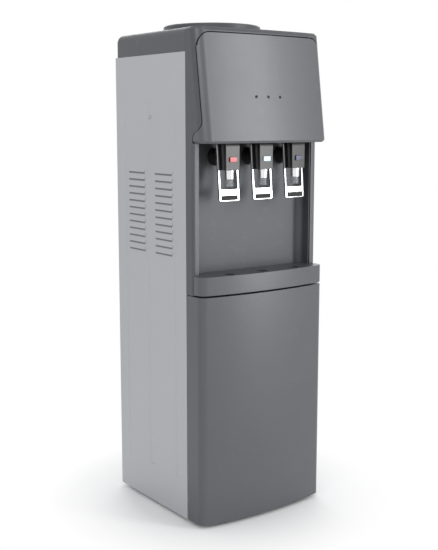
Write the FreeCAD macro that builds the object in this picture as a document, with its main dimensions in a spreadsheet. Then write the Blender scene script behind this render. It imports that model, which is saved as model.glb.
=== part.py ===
import FreeCAD, Part
import math
import os
from types import SimpleNamespace

import Sketcher
from FreeCAD import Placement, Rotation, Vector

# Free-standing water cooler with a bottle bay behind its lower door, three push taps over a
# drip tray and a round reservoir lid on top.  Millimetres, +Z up, X across, the front is -Y.
# The origin is on the floor under the middle of the whole cooler.
# Reaches forward and depths backward are measured from the seam: the front edge of the steel
# side panels.

DRIVING = {
    # cabinet
    "cabinet_width": 335.0,
    "panel_depth": 278.0,
    "panel_height": 1000.0,
    "steel": 1.0,
    "side_flange": 14.0,
    "plastic": 2.5,
    "seat_gap": 0.3,
    "foot_height": 8.0,
    "foot_radius": 15.0,
    "foot_inset": 42.0,
    "pan_lip": 16.0,
    # louvres and swages of the side panels
    "louvre_rows": 12.0,
    "louvre_pitch": 15.6,
    "louvre_length": 70.0,
    "louvre_rise": 2.0,
    "louvre_height": 7.0,
    "louvre_level": 586.0,
    "louvre_front": 50.0,
    "louvre_rear": 158.0,
    "swage_depth": 0.6,
    "swage_level": 95.0,
    "swage_top": 912.0,
    "swage_front": 34.0,
    "swage_front_width": 9.0,
    "swage_middle": 128.0,
    "swage_middle_width": 22.0,
    "swage_rear": 235.0,
    "swage_rear_width": 6.0,
    # top cover and reservoir lid
    "cap_height": 49.0,
    "cap_side_round": 14.0,
    "cap_back_round": 18.0,
    "well_radius": 92.0,
    "collar_rise": 11.0,
    "lid_radius": 108.0,
    "lid_rise": 18.0,
    "lid_bevel": 2.5,
    # front: columns, hood and niche
    "column_reach": 26.0,
    "column_face": 14.5,
    "column_round": 6.0,
    "niche_depth": 6.0,
    "niche_round": 15.0,
    "niche_roof": 846.0,
    "hood_level": 823.0,
    "hood_reach": 66.0,
    "hood_lean": 8.03,
    "hood_bow": 10.0,
    "hood_corner": 22.0,
    "hood_skin": 3.0,
    "hood_lip_round": 5.0,
    "front_reach": 76.02,
    "hood_lip": 14.0,
    "housing_top_round": 5.0,
    "parting_setback": 6.0,
    "parting_gap": 2.2,
    "sweep_level": 829.0,
    "sweep_top": 866.0,
    "face_top": 1045.0,
    "face_corner": 27.0,
    "led_pitch": 31.7,
    "led_radius": 2.0,
    "led_level": 918.0,
    "lens_gap": 0.2,
    "lens_length": 5.0,
    # door and drip tray
    "door_reach": 70.0,
    "door_bow": 16.0,
    "door_corner": 18.0,
    "door_seam": 3.0,
    "door_lift": 1.5,
    "door_recess": 24.0,
    "liner_margin": 24.0,
    "bracket_steel": 3.0,
    "shelf_level": 509.5,
    "shelf_thickness": 2.0,
    "door_gap": 1.5,
    "hinge_inset": 9.5,
    "hinge_reach": 20.0,
    "hinge_pin_radius": 3.0,
    "hinge_running": 0.05,
    "hinge_pin_length": 13.0,
    "hinge_boss_radius": 8.0,
    "catch_level": 260.0,
    "tray_height": 39.5,
    "tray_rim": 3.0,
    "grille_thickness": 2.5,
    "drain_radius": 12.0,
    "drain_reach": 46.0,
    "drain_bar": 1.8,
    # taps
    "tap_pitch": 89.0,
    "tap_level": 794.0,
    "tap_reach": 58.0,
    "tap_width": 36.0,
    "tap_block_depth": 30.0,
    "tap_bottom": 768.0,
    "tap_top": 838.0,
    "tap_barrel_radius": 16.0,
    "tap_shank_radius": 9.0,
    "tap_nut_radius": 19.0,
    "spout_radius": 10.0,
    "spout_drop": 19.0,
    "sleeve_drop": 15.0,
    "spout_wall": 1.5,
    "sleeve_wall": 1.5,
    "sleeve_grip": 8.0,
    "tag_width": 18.0,
    "tag_height": 10.0,
    "tag_proud": 3.0,
    "tag_depth": 7.0,
    "tag_level": 790.0,
    "lock_travel": 3.0,
    "collar_length": 8.0,
    "lever_width": 52.0,
    "lever_arm": 4.0,
    "lever_depth": 5.0,
    "lever_pivot_reach": 34.0,
    "lever_pivot_level": 826.0,
    "lever_lean": 5.2,
    "paddle_top": 727.0,
    "paddle_bottom": 703.0,
    "pad_length": 41.0,
    "pad_height": 7.0,
    "lever_pin_radius": 2.0,
    "lever_running": 0.08,
    # bottle bay
    "bay_side": 17.5,
    "bay_depth": 262.0,
    "bay_height": 543.0,
    "liner": 2.0,
    "neck_reach": 231.0,
    "neck_side": 116.0,
    "probe_level": 508.0,
    "probe_cap_radius": 28.0,
    "probe_cap_height": 24.0,
    "dip_radius": 6.0,
    "dip_length": 430.0,
    "tube_radius": 4.5,
    # machinery
    "condenser_standoff": 13.0,
    "coil_radius": 2.4,
    "coil_passes": 9.0,
    "coil_pitch": 36.0,
    "coil_half": 118.0,
    "coil_level": 615.0,
    "wire_radius": 0.8,
    "wire_count": 12.0,
    "compressor_radius": 66.0,
    "compressor_height": 140.0,
    "compressor_side": 72.0,
    "compressor_back": 188.0,
    "compressor_foot": 3.0,
    "compressor_bolt_side": 54.0,
    "compressor_bolt_reach": 36.0,
    "grommet_height": 9.0,
    "grommet_radius": 8.0,
    "compressor_dome": 22.0,
    "hot_tank_radius": 52.0,
    "hot_tank_height": 170.0,
    "hot_tank_side": 89.0,
    "hot_tank_back": 170.0,
    "cold_tank_radius": 74.0,
    "cold_tank_height": 204.0,
    "insulation_wall": 24.0,
    "insulation_floor": 20.0,
    "outlet_side": 20.0,
    "pump_side": 60.0,
    "pump_reach": 62.0,
    "pump_radius": 22.0,
    "pump_length": 56.0,
    "vent_rows": 6.0,
    "vent_pitch": 10.0,
    "vent_slot": 4.0,
    "vent_length": 110.0,
    "vent_level": 925.0,
    "switch_level": 962.0,
    "switch_pitch": 36.0,
    "switch_width": 19.0,
    "switch_height": 13.0,
    "waste_radius": 6.0,
    "drain_cap_radius": 11.0,
    "drain_reach_out": 9.0,
    "drain_cap_depth": 8.4,
    "drain_cap_length": 12.5,
    "drain_level": 580.0,
    "gland_side": 138.0,
    "gland_radius": 7.0,
    "screw_head_radius": 4.0,
    "screw_head_height": 2.0,
    "screw_inset": 8.0,
    "side_screw_level": 877.0,
}


class Size:
    """A number that also knows the sheet expression it comes from."""

    def __init__(self, value, text):
        self.value = float(value)
        self.text = text

    def __float__(self):
        return self.value

    def joined(self, sign, other, value):
        return Size(value, "(%s %s %s)" % (self.text, sign, as_size(other).text))

    def __add__(self, other):
        return self.joined("+", other, self.value + float(other))

    def __sub__(self, other):
        return self.joined("-", other, self.value - float(other))

    def __mul__(self, other):
        return self.joined("*", other, self.value * float(other))

    def __truediv__(self, other):
        return self.joined("/", other, self.value / float(other))

    def __neg__(self):
        return Size(-self.value, "(0 - %s)" % self.text)

    def __radd__(self, other):
        return as_size(other) + self

    def __rsub__(self, other):
        return as_size(other) - self

    def __rmul__(self, other):
        return as_size(other) * self


def as_size(item):
    """Wrap a plain number as a size."""
    return item if isinstance(item, Size) else Size(item, "(%r)" % float(item))


def square_root(size):
    """The square root of a size, on the sheet as well."""
    return Size(math.sqrt(size.value), "sqrt(%s)" % size.text)


doc = FreeCAD.newDocument("water_cooler")
sheet = doc.addObject("Spreadsheet::Sheet", "Dims")
for row, (alias, number) in enumerate(DRIVING.items(), start=1):
    sheet.set("A%d" % row, alias)
    sheet.set("B%d" % row, "%g" % number)
    sheet.setAlias("B%d" % row, alias)
doc.recompute()
d = SimpleNamespace(**{alias: Size(number, "Dims." + alias) for alias, number in DRIVING.items()})

finished = []


def keep(part, node):
    """Name a sub-part and put it on the list of those that are written out."""
    part.Label = node
    finished.append(part)
    return part


# ---------------------------------------------------------------- building helpers

FACING = {
    "-x": Rotation(Vector(0, 1, 0), -90),
    "+x": Rotation(Vector(0, 1, 0), 90),
    "+y": Rotation(Vector(1, 0, 0), -90),
    "-y": Rotation(Vector(1, 0, 0), 90),
    "+z": Rotation(),
}


def bind(part, **sizes):
    """Tie properties of a feature to the sheet."""
    for name, size in sizes.items():
        part.setExpression(name, as_size(size).text)
    return part


def place(part, x=0, y=0, z=0, facing="+z"):
    """Put a feature at a bound place, turned so that its own Z looks along facing."""
    part.Placement = Placement(Vector(float(x), float(y), float(z)), FACING[facing])
    for axis, size in zip("xyz", (x, y, z)):
        part.setExpression(".Placement.Base." + axis, as_size(size).text)
    return part


def box(name, xs, ys, zs):
    """A block between three pairs of limits."""
    part = doc.addObject("Part::Box", name)
    bind(part, Length=xs[1] - xs[0], Width=ys[1] - ys[0], Height=zs[1] - zs[0])
    return place(part, xs[0], ys[0], zs[0])


def cylinder(name, radius, height, x=0, y=0, z=0, facing="+z"):
    """A round bar from a point on its axis."""
    part = doc.addObject("Part::Cylinder", name)
    bind(part, Radius=radius, Height=height)
    return place(part, x, y, z, facing)


def prism(name, sides, radius, height, x=0, y=0, z=0, facing="+z"):
    """A small or hidden round piece with a few flat sides; radius reaches its corners."""
    part = doc.addObject("Part::Prism", name)
    bind(part, Circumradius=radius, Height=height)
    part.Polygon = sides
    return place(part, x, y, z, facing)


def leaned(part, x, y, z, angle):
    """Put a feature at a bound place, leaning backward by an angle in degrees."""
    part.Placement = Placement(Vector(float(x), float(y), float(z)),
                               Rotation(Vector(-1, 0, 0), float(angle)))
    for axis, size in zip("xyz", (x, y, z)):
        part.setExpression(".Placement.Base." + axis, as_size(size).text)
    part.setExpression(".Placement.Rotation.Angle", "%s * 1 deg" % as_size(angle).text)
    part.setExpression(".Placement.Rotation.Axis.x", "-1")
    return part


def fuse(name, parts):
    """Join overlapping or touching features into one."""
    part = doc.addObject("Part::MultiFuse", name)
    part.Shapes = parts
    part.Refine = True
    return part


def group(name, parts):
    """Several separate solids under one name."""
    part = doc.addObject("Part::Compound", name)
    part.Links = parts
    return part


def cut(name, base, tools):
    """Take tools away from a feature."""
    part = doc.addObject("Part::Cut", name)
    part.Base = base
    part.Tool = tools[0] if len(tools) == 1 else fuse(name + "_tools", tools)
    part.Refine = True
    return part


def common(name, first, second):
    """What two features share."""
    part = doc.addObject("Part::Common", name)
    part.Base = first
    part.Tool = second
    part.Refine = True
    return part


def mirrored(name, source):
    """The other hand of a feature, across the middle of the cooler."""
    part = doc.addObject("Part::Mirroring", name)
    part.Source = source
    part.Normal = Vector(1, 0, 0)
    return part


def origin_plane(body, role):
    return [item for item in body.Origin.OriginFeatures if item.Role == role][0]


def arc_edge(start, end, radius):
    """The shorter arc between two points; a positive radius turns left, a negative one right."""
    chord = end - start
    left = Vector(-chord.y, chord.x, 0).normalize()
    turn = 1 if radius > 0 else -1
    rise = math.sqrt(max(radius * radius - chord.Length ** 2 / 4, 0))
    centre = (start + end) * 0.5 + left * rise * turn
    circle = Part.Circle(centre, Vector(0, 0, 1), abs(radius))
    first, last = (start, end) if turn > 0 else (end, start)
    angles = [math.atan2(p.y - centre.y, p.x - centre.x) for p in (first, last)]
    return Part.ArcOfCircle(circle, angles[0], angles[1])


def sketch_on(body, role, offset, outlines):
    """Closed outlines on an origin plane, every corner bound to the sheet.

    An outline is a list of corners (x, y) or (x, y, radius); a radius bends the edge that
    leaves the corner into an arc.
    """
    sketch = body.newObject("Sketcher::SketchObject", body.Name + "_sketch")
    sketch.AttachmentSupport = [(origin_plane(body, role), "")]
    sketch.MapMode = "FlatFace"
    sketch.setExpression("AttachmentOffset.Base.z", as_size(offset).text)
    for outline in outlines:
        corners = [Vector(float(corner[0]), float(corner[1]), 0) for corner in outline]
        edges = []
        for index, corner in enumerate(outline):
            start, end = corners[index], corners[(index + 1) % len(corners)]
            if len(corner) == 3:
                edge = sketch.addGeometry(arc_edge(start, end, float(corner[2])), False)
                ends = (1, 2) if float(corner[2]) > 0 else (2, 1)
            else:
                edge = sketch.addGeometry(Part.LineSegment(start, end), False)
                ends = (1, 2)
            edges.append((edge, ends))
        for index, corner in enumerate(outline):
            edge, ends = edges[index]
            before, before_ends = edges[index - 1]
            sketch.addConstraint(Sketcher.Constraint(
                "Coincident", before, before_ends[1], edge, ends[0]))
            for kind, size in (("DistanceX", corner[0]), ("DistanceY", corner[1])):
                place_index = sketch.addConstraint(Sketcher.Constraint(
                    kind, -1, 1, edge, ends[0], float(size)))
                sketch.setExpression("Constraints[%d]" % place_index, as_size(size).text)
            if len(corner) == 3:
                radius = corner[2] if float(corner[2]) > 0 else -corner[2]
                arc_index = sketch.addConstraint(Sketcher.Constraint("Radius", edge, float(radius)))
                sketch.setExpression("Constraints[%d]" % arc_index, as_size(radius).text)
    return sketch


def extruded(name, axis, outlines, low, high):
    """A body padded along x, y or z between two places from outlines in the other two."""
    body = doc.addObject("PartDesign::Body", name)
    role = {"x": "YZ_Plane", "y": "XZ_Plane", "z": "XY_Plane"}[axis]
    offset = -as_size(high) if axis == "y" else low
    sketch = sketch_on(body, role, offset, outlines)
    pad = body.newObject("PartDesign::Pad", name + "_pad")
    pad.Profile = sketch
    bind(pad, Length=as_size(high) - low)
    return body


def turned(name, profile, x=0, y=0, z=0, facing="+z"):
    """A body revolved about its own Z from a profile of (radius, height) corners."""
    body = doc.addObject("PartDesign::Body", name)
    sketch = sketch_on(body, "XZ_Plane", 0, [profile])
    spin = body.newObject("PartDesign::Revolution", name + "_turn")
    spin.Profile = sketch
    spin.ReferenceAxis = (sketch, ["V_Axis"])
    return place(body, x, y, z, facing)


def lofted(name, sections):
    """A body lofted up through outlines at given heights."""
    body = doc.addObject("PartDesign::Body", name)
    sketches = [sketch_on(body, "XY_Plane", level, [outline]) for level, outline in sections]
    loft = body.newObject("PartDesign::AdditiveLoft", name + "_loft")
    loft.Profile = sketches[-1]
    loft.Sections = sketches[-2::-1]
    loft.Ruled = True
    return body


def eased(body, radius, wanted, kind="Fillet"):
    """Round or bevel the edges of a body that the test picks."""
    doc.recompute()
    last = body.Tip
    names = ["Edge%d" % (index + 1) for index, edge in enumerate(last.Shape.Edges) if wanted(edge)]
    dressed = body.newObject("PartDesign::" + kind, body.Name + "_" + kind.lower())
    dressed.Base = (last, names)
    bind(dressed, **{"Radius" if kind == "Fillet" else "Size": radius})
    body.Tip = dressed
    return body


def along(edge, axis):
    """Whether an edge runs straight along an axis."""
    ends = [vertex.Point for vertex in edge.Vertexes]
    if len(ends) < 2 or not isinstance(edge.Curve, (Part.Line, Part.LineSegment)):
        return False
    run = ends[1] - ends[0]
    return abs(abs(getattr(run, axis)) - run.Length) < 1e-6


def near(edge, **places):
    """Whether an edge's middle lies at the given coordinates."""
    middle = edge.BoundBox.Center
    return all(abs(getattr(middle, axis) - float(size)) < 0.01 for axis, size in places.items())


def solid_feature(name, shape):
    """A shape that is worked out in code, as a feature of the document."""
    part = doc.addObject("Part::Feature", name)
    part.Shape = shape
    return part


def rectangle(xs, ys):
    return [(xs[0], ys[0]), (xs[1], ys[0]), (xs[1], ys[1]), (xs[0], ys[1])]


def rounded(xs, ys, radius):
    """A rectangle with four equal round corners."""
    left, right = xs
    front, back = ys
    return [
        (left + radius, front), (right - radius, front, radius),
        (right, front + radius), (right, back - radius, radius),
        (right - radius, back), (left + radius, back, radius),
        (left, back - radius), (left, front + radius, radius),
    ]


def bowed(side, front, rear, bow, corner):
    """A plan outline with a bowed front, tangent round front corners and a square back.

    front is where bow and sides would meet; the middle of the bow reaches further by bow.
    """
    radius = (side * side + bow * bow) / (bow * 2)
    centre = front - bow + radius
    reach = radius - corner
    run = side - corner
    drop = square_root(reach * reach - run * run)
    touch_x = run * radius / reach
    touch_y = centre - drop * radius / reach
    return [
        (-side, centre - drop, corner), (-touch_x, touch_y, radius),
        (touch_x, touch_y, corner), (side, centre - drop),
        (side, rear), (-side, rear),
    ]


# ---------------------------------------------------------------- shared places

half = d.cabinet_width / 2
foot = d.foot_height
bay_width = d.cabinet_width - d.bay_side * 2
wire_stack = d.coil_radius + d.wire_radius * 2
rear_stack = d.panel_depth + d.steel + d.condenser_standoff + wire_stack
seam = (d.front_reach - rear_stack) / 2
back = seam + d.panel_depth
panel_top = foot + d.panel_height
cap_top = panel_top + d.cap_height
lid_centre = seam + d.panel_depth / 2
deck = foot + d.bay_height + d.pan_lip + d.seat_gap
rear_face = back + d.steel
cap_front = as_size(d.seat_gap)
shelf_under = d.shelf_level - d.shelf_thickness
door_low = foot + d.door_lift
door_high = shelf_under - d.door_gap
tray_top = d.shelf_level + d.tray_height
tank_rim = cap_top - d.plastic - d.seat_gap
tank_floor = tank_rim - d.cold_tank_height
shelf_top = tank_floor - d.insulation_floor
hood_slope = Size(math.tan(math.radians(d.hood_lean.value)), "tan(%s * 1 deg)" % d.hood_lean.text)
corner_run = d.hood_corner - d.parting_setback
face_inset = d.hood_corner - square_root(d.hood_corner * d.hood_corner - corner_run * corner_run)
gland_neck = as_size(d.gland_radius)
drain_neck = d.waste_radius + d.seat_gap
niche_side = half - d.column_face
coil_end_side = d.coil_half + d.coil_pitch / 2
coil_top = d.coil_level + d.coil_pitch * (d.coil_passes - 1)
coil_y = rear_face + d.condenser_standoff
tap_wall = seam + d.niche_depth
side_screw_y = seam + d.swage_middle + d.swage_middle_width / 2
screw_levels = (foot + 52, foot + 492, panel_top - 68)
outlets = (-d.outlet_side * 2.5, -d.outlet_side, d.outlet_side, as_size(d.pump_side))


# ---------------------------------------------------------------- steel cabinet

def side_panels():
    """Louvred side panels: folded steel with pressed swages, one the mirror of the other."""
    outer, inner = -half, -half + d.steel
    fold = -half + d.side_flange
    front = seam
    plan = [
        (outer, front), (fold, front), (fold, front + d.steel), (inner, front + d.steel),
        (inner, back - d.steel), (fold, back - d.steel), (fold, back), (outer, back),
    ]
    sheet_metal = extruded("left_panel_sheet", "z", [plan], foot, panel_top)
    swages = []
    for name, depth, width in (
        ("front", d.swage_front, d.swage_front_width),
        ("middle", d.swage_middle, d.swage_middle_width),
        ("rear", d.swage_rear, d.swage_rear_width),
    ):
        start = seam + depth
        groove = extruded("swage_" + name, "z", [[
            (outer - 1, start - 1), (outer, start), (outer + d.swage_depth, start + d.swage_depth),
            (outer + d.swage_depth, start + width - d.swage_depth), (outer, start + width),
            (outer - 1, start + width + 1),
        ]], d.swage_level, d.swage_top)
        swages.append(groove)
    grooved = cut("left_panel_grooved", sheet_metal, swages)
    doc.recompute()

    rise, tall = float(d.louvre_rise), float(d.louvre_height)
    skin = 0.8 * float(d.steel)
    pitch = float(d.louvre_pitch)
    wall, wall_back = float(outer), float(inner)

    def wedge(top, bottom, reach, depth, start, length):
        """A prism along Y whose slanted face leans out from the wall."""
        corners = [
            Vector(depth, start, top), Vector(wall, start, top),
            Vector(wall - reach, start, bottom), Vector(depth, start, bottom),
        ]
        return Part.Face(Part.makePolygon(corners + corners[:1])).extrude(Vector(0, length, 0))

    hoods, voids = [], []
    for column in (d.louvre_front, d.louvre_rear):
        start = float(seam + column)
        length = float(d.louvre_length)
        for row in range(int(float(d.louvre_rows))):
            low = float(d.louvre_level) + row * pitch
            hoods.append(wedge(low + tall, low, rise, wall, start, length))
            voids.append(wedge(low + tall - skin * 2, low - 0.1, rise - skin, wall_back + 0.5,
                               start + skin, length - skin * 2))
    louvred = grooved.Shape.multiFuse(hoods).cut(Part.makeCompound(voids)).removeSplitter()
    left = solid_feature("left_panel", louvred)
    keep(left, "left_side_panel")
    keep(mirrored("right_side", finished[-1]), "right_side_panel")


def base_and_feet():
    """Folded base pan between the side panels, on four moulded feet."""
    gap = d.seat_gap
    xs = (-half + d.steel + gap, half - d.steel - gap)
    ys = (seam + d.steel + gap, back - d.steel - gap)
    outer = box("pan_outer", xs, ys, (foot, foot + d.pan_lip))
    inner = box("pan_inner", (xs[0] + d.steel, xs[1] - d.steel),
                (ys[0] + d.steel, ys[1] - d.steel), (foot + d.steel, foot + d.pan_lip + 1))
    notch = box("pan_front_notch", (-bay_width / 2, bay_width / 2), (ys[0] - 1, ys[0] + 2),
                (foot + d.steel, foot + d.pan_lip + 1))
    keep(cut("pan", outer, [inner, notch]), "base_pan")

    feet = []
    for side in (-1, 1):
        for depth in (seam + d.foot_inset, back - d.foot_inset):
            feet.append(prism("foot", 12, d.foot_radius, foot, (half - d.foot_inset) * side,
                              depth))
    keep(group("foot_set", feet), "feet")


def rear_and_decks():
    """Flat steel back, the deck over the bottle bay and the shelf that carries the cold tank."""
    plate = box("rear_plate", (-half + d.steel, half - d.steel), (back, rear_face),
                (foot, panel_top))
    openings = []
    for row in range(int(float(d.vent_rows))):
        low = d.vent_level + d.vent_pitch * row
        openings.append(box("rear_vent", (20, d.vent_length + 20),
                            (back - 1, rear_face + 1), (low, low + d.vent_slot)))
    for side in (-1, 1):
        middle = d.switch_pitch / 2 * side - half / 2
        openings.append(box("switch_window",
                            (middle - d.switch_width / 2, middle + d.switch_width / 2),
                            (back - 1, rear_face + 1),
                            (d.switch_level - d.switch_height, d.switch_level + d.switch_height)))
    openings.append(prism("gland_hole", 16, gland_neck + d.seat_gap, 4, d.gland_side, back - 1,
                          d.drain_level, "+y"))
    openings.append(prism("drain_hole", 16, drain_neck, 4, -d.hot_tank_side, back - 1,
                          d.drain_level, "+y"))
    for side, level in ((-1, d.coil_level), (1, coil_top)):
        openings.append(prism("coil_hole", 8, d.coil_radius + d.seat_gap, 4,
                              coil_end_side * side, back - 1, level, "+y"))
    keep(cut("rear", plate, openings), "rear_panel")

    gap = d.seat_gap
    xs = (-half + d.steel + gap, half - d.steel - gap)
    front = seam + d.niche_depth + d.plastic + gap
    plan = (front, back - d.steel - gap)
    slab = box("deck_slab", xs, plan, (deck - d.pan_lip, deck))
    under = box("deck_under", (xs[0] + d.steel, xs[1] - d.steel),
                (plan[0] + d.steel, plan[1] - d.steel), (deck - d.pan_lip - 1, deck - d.steel))
    ways = [
        prism("deck_tube_hole", 8, d.tube_radius + 2, 20, -d.neck_side, seam + d.neck_reach,
              deck - 10),
    ]
    keep(cut("deck", slab, [under] + ways), "machine_deck")

    shelf_plan = (lid_centre - 100, back - d.steel - gap)
    slab = box("shelf_slab", xs, shelf_plan, (shelf_top - d.pan_lip, shelf_top))
    under = box("shelf_under", (xs[0] + d.steel, xs[1] - d.steel),
                (shelf_plan[0] + d.steel, shelf_plan[1] - d.steel),
                (shelf_top - d.pan_lip - 1, shelf_top - d.steel))
    drops = [prism("shelf_tube_hole", 8, d.tube_radius + 1.5, 20, side, lid_centre,
                   shelf_top - 10) for side in outlets]
    keep(cut("shelf", slab, [under] + drops), "tank_shelf")


def bottle_bay():
    """Moulded liner of the bottle bay, and the probe that is parked in it."""
    reach = seam + d.steel + d.seat_gap
    side = bay_width / 2
    low = foot + d.steel + d.seat_gap
    high = foot + d.bay_height
    rear = seam + d.bay_depth
    outer = box("liner_outer", (-side, side), (reach, rear), (low, high))
    inner = box("liner_inner", (-side + d.liner, side - d.liner),
                (reach - 1, rear - d.liner), (low + d.liner, high - d.liner))
    way = prism("liner_tube_hole", 8, d.tube_radius + 2, 20, -d.neck_side,
                seam + d.neck_reach, high - 10)
    step = box("liner_step", (-side - 1, side + 1),
               (reach - 1, tap_wall + d.plastic + d.seat_gap),
               (shelf_under - d.seat_gap, high + 1))
    keep(cut("liner", outer, [inner, way, step]), "bottle_bay_liner")

    x, y = -d.neck_side, seam + d.neck_reach
    level = d.probe_level
    ledge = box("hook_ledge", (-side + d.liner, x + d.probe_cap_radius),
                (y - 16, rear - d.liner), (level - 4, level - 0.3))
    web = box("hook_web", (-side + d.liner, -side + d.liner + 3), (y - 16, rear - d.liner),
              (level - 30, level - 4))
    notch = prism("hook_notch", 16, d.dip_radius + 0.5, 10, x, y, level - 8)
    mouth = box("hook_mouth", (x - d.dip_radius - 0.5, x + d.dip_radius + 0.5),
                (y - 30, y), (level - 8, level + 2))
    keep(cut("hook", fuse("hook_body", [ledge, web]), [notch, mouth]), "probe_hook")

    radius, tall = d.probe_cap_radius, d.probe_cap_height
    cap = prism("probe_body", 24, radius, tall, x, y, level)
    stub = prism("probe_stub", 16, d.tube_radius + 3, tall + 6, x, y, level)
    keep(fuse("probe", [cap, stub]), "probe_cap")
    bar = prism("dip", 16, d.dip_radius, d.dip_length, x, y, level - d.dip_length)
    bore = prism("dip_bore", 16, d.dip_radius - 1, d.dip_length + 2, x, y,
                 level - d.dip_length - 1)
    keep(cut("dip_pipe", bar, [bore]), "dip_tube")


def top_cover_and_lid():
    """Moulded cap over the cabinet with the reservoir collar, and the round lid."""
    front = seam + cap_front
    shell = extruded("cap_shell", "z", [rectangle((-half, half), (front, rear_face))],
                     panel_top, cap_top)
    eased(shell, d.cap_back_round, lambda edge: along(edge, "x")
          and near(edge, y=rear_face, z=cap_top))
    eased(shell, d.cap_side_round, lambda edge: along(edge, "y")
          and near(edge, z=cap_top) and abs(abs(edge.BoundBox.Center.x) - float(half)) < 0.01)
    room = extruded("cap_room", "z", [rectangle(
        (-half + d.plastic, half - d.plastic), (front + d.plastic, rear_face - d.plastic))],
        panel_top - 1, cap_top - d.plastic)
    eased(room, d.cap_back_round - d.plastic, lambda edge: near(
        edge, z=cap_top - d.plastic) and not near(edge, y=front + d.plastic), "Chamfer")
    hollow = cut("cap_hollow", shell, [room])
    collar = prism("collar", 48, d.well_radius + d.plastic, d.collar_rise + d.plastic,
                   0, lid_centre, cap_top - d.plastic)
    well = prism("well", 48, d.well_radius, d.collar_rise + 20, 0, lid_centre, cap_top - 10)
    keep(cut("cap", fuse("cap_with_collar", [hollow, collar]), [well]), "top_cover")

    radius, skin = d.lid_radius, d.plastic
    low, high = d.seat_gap, d.lid_rise
    disc = prism("lid_disc", 48, radius, high - low, 0, lid_centre, cap_top + low)
    doc.recompute()
    crown = doc.addObject("Part::Chamfer", "lid_crown")
    crown.Base = disc
    crown.Edges = [(index + 1, float(d.lid_bevel), float(d.lid_bevel))
                   for index, edge in enumerate(disc.Shape.Edges)
                   if near(edge, z=cap_top + high) and abs(edge.BoundBox.ZLength) < 1e-6]
    under = prism("lid_under", 48, radius - skin, high - skin + 1, 0, lid_centre, cap_top - 1)
    keep(cut("lid_shell", crown, [under]), "reservoir_lid")
    ring = d.well_radius + d.plastic
    base, tall = cap_top + d.collar_rise + d.seat_gap, high - skin - d.collar_rise - d.seat_gap
    outer = prism("gasket_outer", 36, ring + 1.3, tall, 0, lid_centre, base)
    inner = prism("gasket_inner", 36, ring - 5, tall + 2, 0, lid_centre, base - 1)
    keep(cut("gasket", outer, [inner]), "lid_gasket")


# ---------------------------------------------------------------- moulded front

def hood_front(level):
    """Where the sides of the hood's front face stand at a height, measured from the seam."""
    return seam - d.hood_reach + hood_slope * (level - d.hood_level)


def hood_block(name, inset, low, high, rear):
    """The leaning, bowed block of the hood, drawn in by inset all round its front and sides."""
    spare = d.door_reach
    outline = bowed(half - inset, inset, d.panel_depth, d.hood_bow, d.hood_corner - inset)
    block = extruded(name + "_lean", "z", [outline], -spare, cap_top - d.hood_level + spare)
    leaned(block, 0, hood_front(d.hood_level), d.hood_level, d.hood_lean)
    trim = box(name + "_trim", (-half - 1, half + 1), (seam - d.door_reach - spare, rear),
               (low, high))
    return common(name, block, trim)


def parting_outline(setback, rear):
    """Side view of all that lies in front of the parting line, which sweeps to the column."""
    nose = hood_front(d.sweep_top) + d.parting_setback + setback
    root = seam - d.column_reach + setback
    depth = root - nose
    rise = d.sweep_top - d.sweep_level
    bend = (depth * depth + rise * rise) / (depth * 4)
    upper = hood_front(d.face_top) + d.parting_setback + setback
    ahead = seam - d.door_reach - 40
    low = d.hood_level - setback
    return [
        (ahead, low), (root, low), (root, d.sweep_level, bend),
        ((root + nose) / 2, (d.sweep_level + d.sweep_top) / 2, -bend),
        (nose, d.sweep_top), (upper, d.face_top + setback),
        (ahead, d.face_top + setback),
    ]


def face_outline(grow):
    """Front view of the control face: straight sides and two round top corners."""
    side = half + 5
    corner = d.face_corner + grow
    top = d.face_top + grow
    inset = face_inset - grow
    return [
        (-side, d.hood_level - 30), (side, d.hood_level - 30),
        (side, top - corner), (half - inset, top - corner, corner),
        (half - inset - corner, top), (-half + inset + corner, top, corner),
        (-half + inset, top - corner), (-side, top - corner),
    ]


def edge_eased(name, source, size, level):
    """Bevel the level edges of a hood block at a height, all but the rear one."""
    doc.recompute()
    part = doc.addObject("Part::Chamfer", name)
    part.Base = source
    part.Edges = [
        (index + 1, float(size), float(size)) for index, edge in enumerate(source.Shape.Edges)
        if abs(edge.BoundBox.ZLength) < 1e-6 and near(edge, z=level)
        and not near(edge, y=hood_rear)
    ]
    return part


hood_rear = seam


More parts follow.
